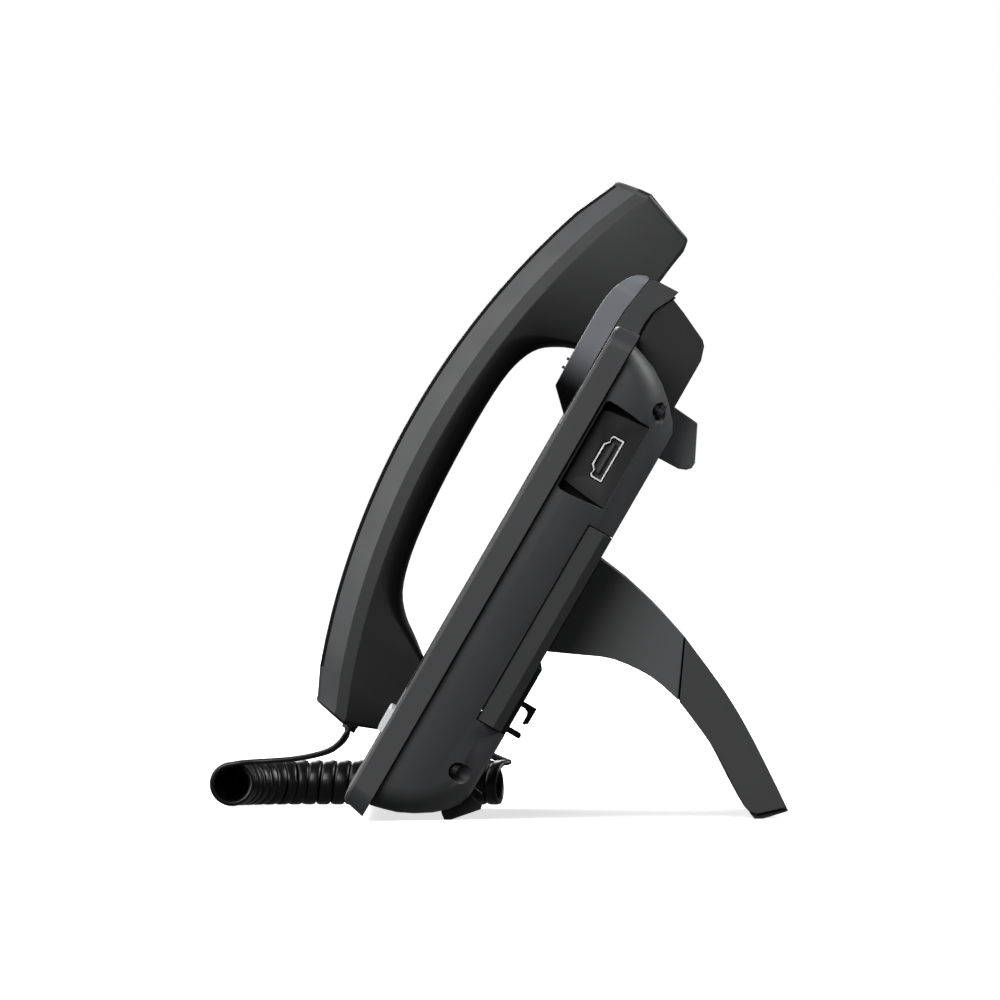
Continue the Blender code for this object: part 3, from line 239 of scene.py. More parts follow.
# Painted shade: a near black put where shade falls, in slits, inside the coil's turns and along the groove
# beside the handset's crown.
painted_shade_black = moulded(
    "painted_shade_black", (0.002, 0.002, 0.002), (0.003, 0.003, 0.003), 0.8, 0.1, edge=0, shine=0.1
)
cord_sheath = moulded(
    "cord_sheath", (0.002, 0.002, 0.0022), (0.003, 0.003, 0.0033), 0.32, 0.08, 1500, edge=0, shine=0.32
)
print("plastics:", [m.name for m in (shell_plastic, back_plastic, handset_plastic, hood_gloss)])

# %% [markdown]
# ## Painted shade that fades
#
# Three pieces get painted shade towards their lower end. The hood turns from its grey over the camera to
# black below it, the grip is darker than the ear end, and the housing is darker under its belly, where little
# light comes. Each could be two pieces with two finishes, but then an edge would show. So the height along
# the face drives a soft step, which blends in the darker colour and takes the shine away: painted shade with
# a painted loss of sheen.


# %% A soft step of painted shade from one colour to a darker one
def fade(material, low, high, dark, sheen, full=0.5):
    """Paints shade on a finish: dark and dull from the height high down to low, in millimetres along the
    face.
    """
    tree = material.node_tree
    shader = tree.nodes["Principled BSDF"]
    place = tree.nodes.new("ShaderNodeTexCoord").outputs["Object"]
    along = tree.nodes.new("ShaderNodeVectorMath")
    along.operation = "DOT_PRODUCT"
    along.inputs[1].default_value = UP
    tree.links.new(place, along.inputs[0])
    step = tree.nodes.new("ShaderNodeMapRange")
    step.interpolation_type = "SMOOTHSTEP"
    step.inputs["From Min"].default_value = face(0, 0, low).dot(UP)
    step.inputs["From Max"].default_value = face(0, 0, high).dot(UP)
    tree.links.new(along.outputs["Value"], step.inputs["Value"])
    # For colours, a Mix node's inputs 6 and 7 are its A and B, and its output 2 is the result.
    blend = tree.nodes.new("ShaderNodeMix")
    blend.data_type = "RGBA"
    blend.inputs[6].default_value = (*dark, 1)
    tree.links.new(shader.inputs["Base Color"].links[0].from_socket, blend.inputs[7])
    tree.links.new(step.outputs["Result"], blend.inputs[0])
    tree.links.new(blend.outputs[2], shader.inputs["Base Color"])
    shine = tree.nodes.new("ShaderNodeMapRange")
    shine.inputs["To Min"].default_value = sheen
    shine.inputs["To Max"].default_value = full
    tree.links.new(step.outputs["Result"], shine.inputs["Value"])
    tree.links.new(shine.outputs["Result"], shader.inputs["Specular IOR Level"])


# Painted shade on the hood's lower end, the housing's belly and the grip towards the mouth end.
fade(hood_gloss, 150, 168, (0.0015, 0.0015, 0.0018), 0.04)
fade(back_plastic, -3, 16, (0.003, 0.003, 0.0032), 0.08, 0.38)
fade(grip_plastic, 158, 206, (0.0036, 0.0037, 0.0039), 0.22)
print("fading finishes:", [m.name for m in (hood_gloss, back_plastic, grip_plastic)])

# %% [markdown]
# Metal parts are stamped or plated: brushed lines on the socket shells, a bright painted silver on the keys.
# The socket steel is only half metal, and its white diffuse half is a painted reflection that keeps the rims
# bright.
# The screen and the lens are a nearly black glass. The boards inside are green.


# %% Metals, paint, glass and circuit board
def metal(name, colour, rough, brushed=(1, 1, 1), scale=900, metallic=1.0):
    """Plated or brushed metal. brushed stretches the fine lines along one direction."""
    material, tree, shader = nodes_of(name)
    place = tree.nodes.new("ShaderNodeTexCoord").outputs["Object"]
    stretch = tree.nodes.new("ShaderNodeMapping")
    stretch.inputs["Scale"].default_value = brushed
    tree.links.new(place, stretch.inputs["Vector"])
    shader.inputs["Base Color"].default_value = (*colour, 1)
    shader.inputs["Metallic"].default_value = metallic
    _, roughness = mottle(tree, stretch.outputs["Vector"], scale, rough * 0.75, rough * 1.25, 3)
    tree.links.new(roughness, shader.inputs["Roughness"])
    lines, _ = mottle(tree, stretch.outputs["Vector"], scale * 2, 0, 1, 2)
    bump = tree.nodes.new("ShaderNodeBump")
    bump.inputs["Strength"].default_value = 0.12
    bump.inputs["Distance"].default_value = 0.02 * MM
    tree.links.new(lines, bump.inputs["Height"])
    tree.links.new(bump.outputs["Normal"], shader.inputs["Normal"])
    return material


# Partly painted reflection: half metal and half white, so the shells' rims look bright without a bright room
# to reflect.
socket_steel_painted_sheen = metal("socket_steel_painted_sheen", (0.9, 0.9, 0.91), 0.3, (1, 0.15, 1), metallic=0.55)
screw_steel = metal("screw_black_zinc", (0.03, 0.03, 0.032), 0.5)
weight_steel = metal("weight_steel", (0.5, 0.5, 0.5), 0.4)
key_silver = metal("key_silver_paint", (0.6, 0.61, 0.62), 0.38, scale=2600, metallic=0.1)

screen_glass, glass_tree, glass_shader = nodes_of("screen_glass")
glass_place = glass_tree.nodes.new("ShaderNodeTexCoord").outputs["Object"]
_, glass_rough = mottle(glass_tree, glass_place, 30, 0.05, 0.08)
glass_tree.links.new(glass_rough, glass_shader.inputs["Roughness"])
glass_shader.inputs["Base Color"].default_value = (0.004, 0.0042, 0.0055, 1)
glass_shader.inputs["Specular IOR Level"].default_value = 0.16

board_green, board_tree, board_shader = nodes_of("board_green")
board_place = board_tree.nodes.new("ShaderNodeTexCoord").outputs["Object"]
_, board_rough = mottle(board_tree, board_place, 400, 0.4, 0.6)
board_tree.links.new(board_rough, board_shader.inputs["Roughness"])
board_shader.inputs["Base Color"].default_value = (0.01, 0.09, 0.035, 1)
print("metals:", [m.name for m in (socket_steel_painted_sheen, screw_steel, key_silver)])

# %% [markdown]
# ## The curly cord
#
# The cord is a flat strip wound edge to edge into a tube. It leaves the handset's plug, drops to the
# table, coils for most of its length and ends in a plug in the telephone's left side. It is swept as one
# strip: the centre line is a spiral round the coil's axis, and the strip's flat side lies on the coil.
# The axis comes first. It is a straight end and two arcs on the table, cut into short, equal steps.

# %% The coil's axis
COIL_HEIGHT = 7.6 * MM
COIL_RADIUS = 6.5 * MM
COIL_PITCH = 4.72 * MM
STRIP_WIDTH = 4.62 * MM
STRIP_THICK = 1.9 * MM
AXIS_STEP = 0.2 * MM


def smooth_line(points, steps):
    """A curve through the points, with its ends."""
    ends = [points[0]] + list(points) + [points[-1]]
    line = []
    for before, start, end, after in zip(ends, ends[1:], ends[2:], ends[3:]):
        for step in range(steps):
            t = step / steps
            place = []
            for a, b, c, d in zip(before, start, end, after):
                bend = (2 * a - 5 * b + 4 * c - d) * t * t + (3 * b - a - 3 * c + d) * t**3
                place.append(b + ((c - a) * t + bend) / 2)
            line.append(Vector(place))
    line.append(Vector(points[-1]))
    return line


def arc_points(centre, radius, first, last, count):
    """Points on an arc in the table's plane, between two angles in degrees."""
    turns = [math.radians(first + (last - first) * step / count) for step in range(count + 1)]
    return [Vector((centre[0] + radius * math.cos(t), centre[1] + radius * math.sin(t), 0)) for t in turns]


def evenly(line, gap):
    """The line again, with points at equal distances."""
    lengths = [0.0]
    for a, b in zip(line, line[1:]):
        lengths.append(lengths[-1] + (b - a).length)
    count = round(lengths[-1] / gap)
    result, index = [], 0
    for step in range(count + 1):
        want = lengths[-1] * step / count
        while index < len(line) - 2 and lengths[index + 1] < want:
            index += 1
        share = (want - lengths[index]) / (lengths[index + 1] - lengths[index])
        result.append(line[index].lerp(line[index + 1], min(max(share, 0), 1)))
    return result


axis_line = [Vector((-118.0, -89.0, 0))]
axis_line += arc_points((-122.0, -61.0), 28.0, 270, 180, 16)
axis_line += arc_points((-110.0, -14.7), 40.0, 180, 158, 6)
coil_axis = [Vector((p.x * MM, (p.y + TABLE_SHIFT) * MM, COIL_HEIGHT)) for p in axis_line]
coil_axis = evenly(coil_axis, AXIS_STEP)
axis_length = AXIS_STEP * (len(coil_axis) - 1)
coil_turns = round(axis_length / COIL_PITCH - 0.25)
print("coil:", round(axis_length / MM), "mm long with", coil_turns, "turns")

# %% [markdown]
# A Screw modifier could wind the coil only round a straight axis, and this one bends. So a loop walks along
# the axis and turns round it, one point at a time. Where the axis bends, the strip's turns open on the
# outside and close on the inside, so the strip is made wider outside and narrower inside, and no gap shows.
# The two leads are given point by point, as they hang.

# %% The strip's centre line and the way its flat side faces
HANDSET_LEAD = [(-107, -50.3, 26.4), (-107, -50.9, 24.2), (-107.6, -52.8, 21.5), (-108.6, -56.4, 18.9)]
HANDSET_LEAD += [(-110.6, -61.8, 17.2), (-113.0, -68.6, 16.0), (-115.0, -75.4, 15.4), (-116.1, -80.6, 15.1)]
BASE_LEAD = [(-147.6, -13.0, 37.4), (-151.6, -12.4, 36.4), (-155.4, -10.8, 32.6), (-156.9, -8.2, 27.0)]
BASE_LEAD += [(-156.0, -5.6, 21.4), (-153.4, -4.2, 17.4)]
POINTS_A_TURN = 36
BEND_REACH = 20
LEAD_STEPS = 8


def on_table(points):
    """The cord's points, in millimetres, as world places."""
    return [Vector((x * MM, (y + TABLE_SHIFT) * MM, z * MM)) for x, y, z in points]


def axis_direction(index):
    """Direction of the coil's axis at one of its points."""
    return (coil_axis[index + 1] - coil_axis[index]).normalized()


spiral, flat_side, stretch = [], [], []
spiral_steps = coil_turns * POINTS_A_TURN
for step in range(spiral_steps + 1):
    along = step / spiral_steps * (len(coil_axis) - 1)
    index = min(int(along), len(coil_axis) - 2)
    centre = coil_axis[index].lerp(coil_axis[index + 1], along - index)
    sideways = axis_direction(index).cross(Vector((0, 0, 1))).normalized()
    turn = math.radians(90) + 2 * math.pi * step / POINTS_A_TURN
    outward = sideways * math.cos(turn) + Vector((0, 0, 1)) * math.sin(turn)
    before = max(index - BEND_REACH, 0)
    after = min(index + BEND_REACH, len(coil_axis) - 2)
    bend = (axis_direction(after) - axis_direction(before)) / ((after - before) * AXIS_STEP)
    spiral.append(centre + outward * COIL_RADIUS)
    flat_side.append(outward)
    stretch.append(1 - outward.dot(bend) * COIL_RADIUS)

into_coil = spiral[0] + (spiral[0] - spiral[2]) * 1.5
out_of_coil = spiral[-1] + (spiral[-1] - spiral[-3]) * 1.2
lead_in = smooth_line(on_table(HANDSET_LEAD) + [into_coil, spiral[0]], LEAD_STEPS)[:-1]
lead_out = smooth_line([spiral[-1], out_of_coil] + on_table(BASE_LEAD)[::-1], LEAD_STEPS)[1:]
cord_line = lead_in + spiral + lead_out
facing = [flat_side[0]] * len(lead_in) + flat_side + [flat_side[-1]] * len(lead_out)
widths = [1.0] * len(lead_in) + stretch + [1.0] * len(lead_out)


# %% [markdown]
# A curve with a bevel would turn the strip's flat side as it likes, so the strip is built ring by ring, and
# each ring is turned to face outwards from the coil. Its section is a rectangle with round edges. The inner
# side of the turns gets the dull black, because little light reaches the inside of the coil. When the handset
# is lifted, one end of the first lead goes with it and the other end stays on the table.


# %% Sweep the strip
STRIP_SIDES = 10
EDGE_POWER = 0.6
PLAIN_RINGS = 30


def tangent_at(line, index):
    """Direction of a line at one of its points."""
    return (line[min(index + 1, len(line) - 1)] - line[max(index - 1, 0)]).normalized()


def rounded(value):
    """A sine or cosine pushed outwards, which turns a circle into a rectangle with round corners."""
    return math.copysign(abs(value) ** EDGE_POWER, value)


def sweep(name, line, facing, widths, width, thick, sides=STRIP_SIDES):
    """A closed strip with rounded edges along the line. On a bend it is wider outside than inside."""
    points, faces = [], []
    for index, centre in enumerate(line):
        ahead = tangent_at(line, index)
        out = (facing[index] - ahead * facing[index].dot(ahead)).normalized()
        across = ahead.cross(out)
        for side in range(sides):
            turn = 2 * math.pi * side / sides
            x = rounded(math.cos(turn)) * width / 2 * widths[index]
            y = rounded(math.sin(turn)) * thick / 2
            points.append(centre + across * x + out * y)
    for ring in range(len(line) - 1):
        for side in range(sides):
            a = ring * sides + side
            b = ring * sides + (side + 1) % sides
            faces.append((a, b, b + sides, a + sides))
    faces.append(tuple(reversed(range(sides))))
    faces.append(tuple(range(len(points) - sides, len(points))))
    mesh = bpy.data.meshes.new(name)
    mesh.from_pydata(points, [], faces)
    mesh.update()
    piece = bpy.data.objects.new(name, mesh)
    bpy.context.scene.collection.objects.link(piece)
    return piece


curly_cord = sweep("curly_cord", cord_line, facing, widths, STRIP_WIDTH, STRIP_THICK)
curly_cord.data.materials.append(cord_sheath)
curly_cord.data.materials.append(painted_shade_black)
first_ring = len(lead_in) + PLAIN_RINGS
last_ring = len(lead_in) + len(spiral) - PLAIN_RINGS
# Painted shade: the inner side of the middle turns takes the near black.
for number, polygon in enumerate(curly_cord.data.polygons):
    ring, side = divmod(number, STRIP_SIDES)
    inside = first_ring < ring < last_ring and side >= STRIP_SIDES // 2
    polygon.material_index = 1 if inside else 0
    polygon.use_smooth = True
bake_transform(curly_cord)
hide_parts("cord_coil", "cord_lead_handset", "cord_lead_base")
print("strip:", len(curly_cord.data.polygons), "faces")

# %% [markdown]
# ## The handset
#
# The handset is two mouldings. Its back carries two long facets down each side, which meet the side at the
# seam, and its face is a smooth grip between two blocks. Extruding one section wouldn't do, because the
# section changes all the way. So both are lofted: a row of rings from the mouth end to the ear end, each
# with the facets' corners and the grip's rounded edge. First come the outlines that the rings follow, as
# (height, depth) for the grip side and (depth, height) for the two ends.

# %% Outlines of the handset
HANDSET_X = -107.0
HALF_WIDTH = 25.0
LOW_END, HIGH_END = 19.2, 218.5
CROWN = 43.6
END_CROWN = 24.0
SEAM = 12.0
MOUTH_END = [(-24.0, 19.2), (-9.1, 16.9), (-1.5, 20.7), (2.6, 22.4)]
EAR_END = [(-23.7, 218.5), (-12.5, 220.2), (7.1, 213.7), (7.5, 210.9)]
INNER = [(22.4, 2.6), (46.5, 2.6), (48.2, 1.5), (49.8, -0.2), (54, -5.6), (58.5, -11.7), (64.7, -16.6)]
INNER += [(74, -19.7), (86.3, -21.7), (104.7, -23.2), (126, -23.7), (141.7, -23.1), (151, -21.2)]
INNER += [(157.1, -17.9), (161, -12.5), (163.3, -7.1), (165.4, -1.5), (167, 2.3), (210.9, 7.5)]


def outer_depth(height):
    """Depth of the outer arc at a height."""
    half = (HIGH_END - LOW_END) / 2
    sag = CROWN - END_CROWN
    radius = (half * half + sag * sag) / (2 * sag)
    return radius - math.sqrt(radius * radius - (height - (HIGH_END + LOW_END) / 2) ** 2) - CROWN


def inner_depth(height):
    """Depth of the grip side at a height."""
    for (h0, d0), (h1, d1) in zip(INNER, INNER[1:]):
        if height <= h1:
            return d0 + (d1 - d0) * (height - h0) / (h1 - h0)
    return INNER[-1][1]


def station_height(path, depth):
    """Height at a depth on an end's outline."""
    for (d0, h0), (d1, h1) in zip(path, path[1:]):
        if depth <= d1:
            return h0 + (h1 - h0) * (depth - d0) / (d1 - d0)
    return path[-1][1]


MOUTH_BLOCK = (INNER[0][0], INNER[1][0])
EAR_STATIONS = [175, 184, 193, 202, 210.9]
stations = [MOUTH_BLOCK[0] + (MOUTH_BLOCK[1] - MOUTH_BLOCK[0]) * i / 3 for i in range(4)]
grip_line = smooth_line([(h, d, 0) for h, d in INNER[1:-1]], 3)
stations += [p.x for p in grip_line[1:]] + EAR_STATIONS
smooth_inner = {round(p.x, 4): p.y for p in grip_line}
print("handset:", len(stations), "cross-sections")


# %% [markdown]
# Each ring is drawn for one half and mirrored. The back's half has the flat crown, a fine groove, the facet
# and the seam. The face's half has the seam and a round edge, which is wide along the grip, so that fingers
# hold it, and tight at the blocks. At both ends a few smaller rings round the end off.


# %% Loft the two shells
TIGHT_EDGE, WIDE_EDGE = 1.2, 8.0
GRIP_START, GRIP_END = 43, 176
END_ROUNDING = [(2.4, 0), (0.9, 0.35), (0.25, 1.0), (0, 2.2)]


def edge_radius(height, room):
    """The grip's rounded edge: wide in the middle, tight at the two blocks."""
    rise = min(max((height - GRIP_START) / 18, 0), 1) * min(max((GRIP_END - height) / 14, 0), 1)
    return min(TIGHT_EDGE + (WIDE_EDGE - TIGHT_EDGE) * (rise * rise * (3 - 2 * rise)), room)


def section(part, height, path):
    """One ring of (x, depth, height), in millimetres, for the back moulding or the face moulding."""
    outer = path[0][0] if path else outer_depth(height)
    inner = path[-1][0] if path else smooth_inner.get(round(height, 4), inner_depth(height))
    radius = edge_radius(height, inner - outer - SEAM - 0.6)
    if part == "back":
        side = [(0, 0), (14.2, 0), (15.2, 0.2), (16.2, 0.9), (16.5, 1.3), (22.8, 7.7), (HALF_WIDTH, SEAM)]
        side = [(x, outer + d) for x, d in side] + [(0, outer + SEAM)]
    else:
        side = [(0, outer + SEAM), (HALF_WIDTH, outer + SEAM)]
        for step in range(9):
            turn = math.radians(90 * step / 8)
            x = HALF_WIDTH - radius + radius * math.cos(turn)
            side.append((x, inner - radius + radius * math.sin(turn)))
        side.append((0, inner))
    ring = [(x, d, station_height(path, d) if path else height) for x, d in side]
    middle, half = (outer + inner) / 2, (inner - outer) / 2
    return ring, middle, half


def pulled_in(ring, middle, half, inset, shift):
    """The ring made smaller all round by the inset and moved along the handset."""
    across = (HALF_WIDTH - inset) / HALF_WIDTH
    deep = (half - inset) / half
    return [(x * across, middle + (depth - middle) * deep, height + shift) for x, depth, height in ring]


def handset_rings(part):
    """Rings from the mouth end to the ear end. Three more rings at each end round it off."""
    rings = []
    for index, height in enumerate(stations):
        last = len(stations) - 1
        path = MOUTH_END if index == 0 else EAR_END if index == last else None
        ring, middle, half = section(part, height, path)
        if path:
            inward = 1 if index == 0 else -1
            made = [pulled_in(ring, middle, half, inset, inward * shift) for inset, shift in END_ROUNDING]
            rings += made if index == 0 else made[::-1]
        else:
            rings.append(ring)
    return [ring + [(-x, d, h) for x, d, h in reversed(ring[1:-1])] for ring in rings]


def loft(name, rings):
    """A closed solid through the rings, placed on the handset's middle."""
    points = [face(HANDSET_X + x, depth, height) for ring in rings for x, depth, height in ring]
    count = len(rings[0])
    faces = []
    for ring in range(len(rings) - 1):
        for side in range(count):
            a = ring * count + side
            b = ring * count + (side + 1) % count
            faces.append((a, b, b + count, a + count))
    faces.append(tuple(reversed(range(count))))
    faces.append(tuple(range(len(points) - count, len(points))))
    mesh = bpy.data.meshes.new(name)
    mesh.from_pydata(points, [], faces)
    piece = bpy.data.objects.new(name, mesh)
    bpy.context.scene.collection.objects.link(piece)
    return piece


def only(piece):
    """Selects one piece and makes it active."""
    bpy.ops.object.select_all(action="DESELECT")
    piece.select_set(True)
    bpy.context.view_layer.objects.active = piece


def outwards(piece):
    """Turns every face of a closed piece outwards."""
    only(piece)
    bpy.ops.object.mode_set(mode="EDIT")
    bpy.ops.mesh.select_all(action="SELECT")
    bpy.ops.mesh.normals_make_consistent(inside=False)
    bpy.ops.object.mode_set(mode="OBJECT")


def soften(piece, width, angle=30, segments=2, smooth=35):
    """Rounds the sharp edges of a piece and shades it smooth up to an angle."""
    only(piece)
    bevel = piece.modifiers.new("edges", "BEVEL")
    bevel.width = width
    bevel.segments = segments
    bevel.limit_method = "ANGLE"
    bevel.angle_limit = math.radians(angle)
    bevel.use_clamp_overlap = True
    bpy.ops.object.modifier_apply(modifier=bevel.name)
    bpy.ops.object.shade_smooth_by_angle(angle=math.radians(smooth))
    level = piece.modifiers.new("flat_faces", "WEIGHTED_NORMAL")
    level.keep_sharp = True
    level.weight = 80
    bpy.ops.object.modifier_apply(modifier=level.name)


def belongs(piece, body, slot, finish, *nodes):
    """Gives a piece its finish, its body and the nodes that it stands for."""
    piece.data.materials.clear()
    piece.data.materials.append(finish)
    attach(piece, body)
    if nodes:
        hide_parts(*nodes)
    print(piece.name, "has", len(piece.data.polygons), "faces")


back_moulding = loft("handset_back", handset_rings("back"))
outwards(back_moulding)
only(back_moulding)
bpy.ops.object.shade_smooth_by_angle(angle=math.radians(14))
belongs(back_moulding, "handset", "shell", handset_plastic, "handset_back_shell")
face_moulding = loft("handset_face", handset_rings("face"))
outwards(face_moulding)
only(face_moulding)
bpy.ops.object.shade_smooth_by_angle(angle=math.radians(24))
belongs(face_moulding, "handset", "shell", grip_plastic, "handset_face_shell")

# %% [markdown]
# The rounded rim of the ear end, a fine groove along each side of the crown and the flank between the facet
# and the seam get painted shade: the rim nearly black, the groove black and the flank darker than the facet.
# They are painted and not pieces, so each face of the two mouldings gets a material slot by its ring or its
# place.

# %% Painted shade on the rim of the ear end, the lines beside the crown and the flanks
RINGS = len(stations) + 2 * (len(END_ROUNDING) - 1)
RIM_RINGS = len(END_ROUNDING)
# Painted shade: the rings of the ear end's rim take the darker copy.
for moulding in (back_moulding, face_moulding):
    moulding.data.materials.append(painted_shade_rim)
    around = (len(moulding.data.polygons) - 2) // (RINGS - 1)
    for number, polygon in enumerate(moulding.data.polygons):
        on_rim = (RINGS - RIM_RINGS) * around <= number < (RINGS - 1) * around
        polygon.material_index = 1 if on_rim else 0
# Painted shade: the groove beside the crown turns black and the flank beyond the facet darker.
back_moulding.data.materials.append(painted_shade_black)
back_moulding.data.materials.append(painted_shade_flank)
for polygon in back_moulding.data.polygons:
    x, _, height = on_face(polygon.center)
    across = abs(x - HANDSET_X)
    if 15.0 < across < 16.6 and 26 < height < 214:
        polygon.material_index = 2
    elif across > 22.9 and polygon.material_index == 0:
        polygon.material_index = 3
print("rim, groove and flank:", [m.name for m in back_moulding.data.materials])

# %% [markdown]
# ## Shells from the frame
#
# The front shell, the rear housing, the cover and the stand already have their shape in the frame, so they
# aren't modelled again. Each is copied, its loose triangles are merged and its flat faces joined again, and
# then its edges are rounded, as a mould leaves them. The last column below is that rounding in millimetres.


# %% Copy, clean and round the frame's shells
def finished_copy(node, name, edge, angle=30, segments=2, smooth=30):
    """A clean copy of a node's mesh with rounded edges."""
    piece = bpy.data.objects.new(name, frame["nodes"][node].data.copy())
    bpy.context.scene.collection.objects.link(piece)
    only(piece)
    bpy.ops.object.mode_set(mode="EDIT")
    bpy.ops.mesh.select_all(action="SELECT")
    bpy.ops.mesh.remove_doubles(threshold=0.004 * MM)
    bpy.ops.mesh.dissolve_limited(angle_limit=math.radians(0.6))
    bpy.ops.object.mode_set(mode="OBJECT")
    if edge:
        soften(piece, edge, angle, segments, smooth)
    else:
        bpy.ops.object.shade_smooth_by_angle(angle=math.radians(smooth))
    return piece


SHELLS = [
    ("front_shell", "front_frame", "phone", "shell", shell_plastic, 0.25),
    ("rear_housing", "back_housing", "phone", "shell", back_plastic, 0.25),
    ("rear_cover", "back_cover", "phone", "shell", cover_painted_shade_plastic, 0.25),
    ("camera_hood", "hood", "phone", "hood", hood_gloss, 0.3),
    ("stand_arm", "stand_upper", "stand", "shell", painted_light_arm, 0.3),
    ("stand_leg", "stand_lower", "stand", "shell", painted_shade_leg, 0.3),
    ("tilt_lever", "camera_lever", "camera", "shell", lever_painted_light_plastic, 0.4),
]
for node, name, body, slot, finish, edge in SHELLS:
    piece = finished_copy(node, name, edge * MM)
    belongs(piece, body, slot, finish, node)


# %% [markdown]
# ## The video socket and its recess
#
# The socket sits on the floor of a recess whose walls fall away into dark, curved slits at its top, bottom
# and front. Each slit is a prism, cut from the housing by a Boolean, because its thin, curved outline
# follows none of the housing's own edges. Outlines are (depth, height) in the face's directions.


# %% Slits round the recess, by Boolean
def prism(name, outline, low, high):
    """A closed prism: an outline of (depth, height) in the face's directions, from low to high along X."""
    points = [face(x, depth, height) for x in (low, high) for depth, height in outline]
    count = len(outline)
    sides = [(i, (i + 1) % count, (i + 1) % count + count, i + count) for i in range(count)]
    mesh = bpy.data.meshes.new(name)
    mesh.from_pydata(points, [], sides + [tuple(reversed(range(count))), tuple(range(count, 2 * count))])
    piece = bpy.data.objects.new(name, mesh)
    bpy.context.scene.collection.objects.link(piece)
    outwards(piece)
    return piece


def carve(piece, cutter):
    """Cuts the cutter out of the piece."""
    only(piece)
    cut = piece.modifiers.new(cutter.name, "BOOLEAN")
    cut.operation = "DIFFERENCE"
    cut.solver = "EXACT"
    cut.object = cutter
    bpy.ops.object.modifier_apply(modifier=cut.name)
    bpy.data.objects.remove(cutter)


def joined(pieces):
    """Joins the pieces into the first one."""
    only(pieces[0])
    for piece in pieces[1:]:
        piece.select_set(True)
    bpy.ops.object.join()
    return pieces[0]


RECESS_MIDDLE = 137.1
UPPER_SLIT = [(9.3, 150.0), (9.3, 152.6), (10.2, 153.3), (13, 153.3), (18, 152.9), (26.2, 151.9), (18, 151.2)]
SLITS = {
    "upper_slit": UPPER_SLIT,
    "lower_slit": [(depth, 2 * RECESS_MIDDLE - height) for depth, height in UPPER_SLIT],
    "front_slit": [(9.2, 121.8), (9.75, 121.8), (9.75, 152.4), (9.2, 152.4)],
}
SIDE_FLOOR = 130.0
SLIT_BOTTOM = 128.5
housing = bpy.data.objects["back_housing"]
for name, outline in SLITS.items():
    carve(housing, prism(name, outline, SLIT_BOTTOM, 140))
print("housing with its slits:", len(housing.data.polygons), "faces")

# %% [markdown]
# A round well on each side, at the top and at the bottom, holds a screw. A cylinder is the drill, laid
# along X and taken out of the housing.

# %% Screw wells, as (name, depth, height)
WELLS = [("lower_well", 27.4, 26.0), ("upper_well", 26.3, 158.6)]
for name, depth, height in WELLS:
    for side in (-1, 1):
        bpy.ops.mesh.primitive_cylinder_add(vertices=40, radius=3.0 * MM, depth=9.0 * MM)
        well = bpy.context.active_object
        well.name = name
        well.rotation_euler = (0, math.radians(90), 0)
        well.location = face(side * SIDE_FLOOR, depth, height)
        carve(housing, well)
print("housing with its wells:", len(housing.data.polygons), "faces")

# %% [markdown]
# Inside a slit the plastic is in full shade, and the sides of the camera's tower and the floor of the recess
# get a darker, duller copy of the plastic as painted shade. These painted shades are given by place: each
# face of the housing is asked where it lies.

# %% The housing's painted shade, by place
TOWER_MIDDLE, TOWER_HALF = 30.0, 34.0
housing.data.materials.clear()
for finish in (back_plastic, painted_shade_black, tower_recess_painted_shade):
    housing.data.materials.append(finish)
in_slit = 0
# Painted shade: slit faces take the near black, and the tower's sides and the recess floor take the darker
# copy.
for polygon in housing.data.polygons:
    x, depth, height = on_face(polygon.center)
    in_recess = 9.0 < depth < 27.0 and 120.5 < height < 153.6
    deep = in_recess and depth < 26.5 and SLIT_BOTTOM - 0.1 < x < SIDE_FLOOR + 0.25
    recess_floor = in_recess and 121.5 < height < 152.8 and SIDE_FLOOR < x < SIDE_FLOOR + 0.7
    tower_side = height > 150 and abs(abs(x - TOWER_MIDDLE) - TOWER_HALF) < 0.3
    polygon.material_index = 1 if deep else 2 if tower_side or recess_floor else 0
    in_slit += deep
print(in_slit, "of the housing's faces lie in the slits")

# %% [markdown]
# The socket's shell is bright only on its rim, because a grey liner and a tongue fill its inside. So the
# rim's faces, which look out of the side, are steel and the others are black.

# %% The socket's rim
rim = finished_copy("video_socket", "video_rim", 0)
belongs(rim, "phone", "metal", socket_steel_painted_sheen, "video_socket")
rim.data.materials.append(socket_black)
for polygon in rim.data.polygons:
    looks_out = polygon.normal.x > 0.9 and polygon.center.x > SIDE_FLOOR * MM
    polygon.material_index = 0 if looks_out else 1

# %% [markdown]
# ## Holes of the handset
#
# The receiver is heard through two rings of holes in the ear block, and the microphone sits behind a short
# slot in the mouth block. All the drills are joined first, so that one Boolean cuts them together.

# %% Holes of the receiver and the microphone, in the handset's face
RECEIVER_HEIGHT = 190
HOLE_RINGS = ((4.2, 6), (8.4, 12))
drills = []
for ring, count in HOLE_RINGS:
    for step in range(count):
        turn = 2 * math.pi * step / count
        across, up = ring * math.cos(turn), ring * math.sin(turn)
        middle = face(HANDSET_X + across, 8.6, RECEIVER_HEIGHT + up)
        bpy.ops.mesh.primitive_cylinder_add(vertices=14, radius=0.9 * MM, depth=10 * MM, location=middle)
        bpy.context.active_object.rotation_euler = (math.radians(90) - FACE_LEAN, 0, 0)
        drills.append(bpy.context.active_object)
MOUTH_SLOT = [(1.2, 33.4), (6, 33.4), (6, 34.8), (1.2, 34.8)]
drills.append(prism("mouth_slot", MOUTH_SLOT, HANDSET_X - 4, HANDSET_X + 4))
carve(face_moulding, joined(drills))
print("handset face with its holes:", len(face_moulding.data.polygons), "faces")

# %% [markdown]
# ## The network sockets
#
# Two sockets for network cables sit side by side in the back. Each has a plated shell, a black inside and
# eight gilt contacts in a row. A contact is a bar less than half a millimetre wide, made with the helper
# that makes the slits, and the eight are joined into one piece.

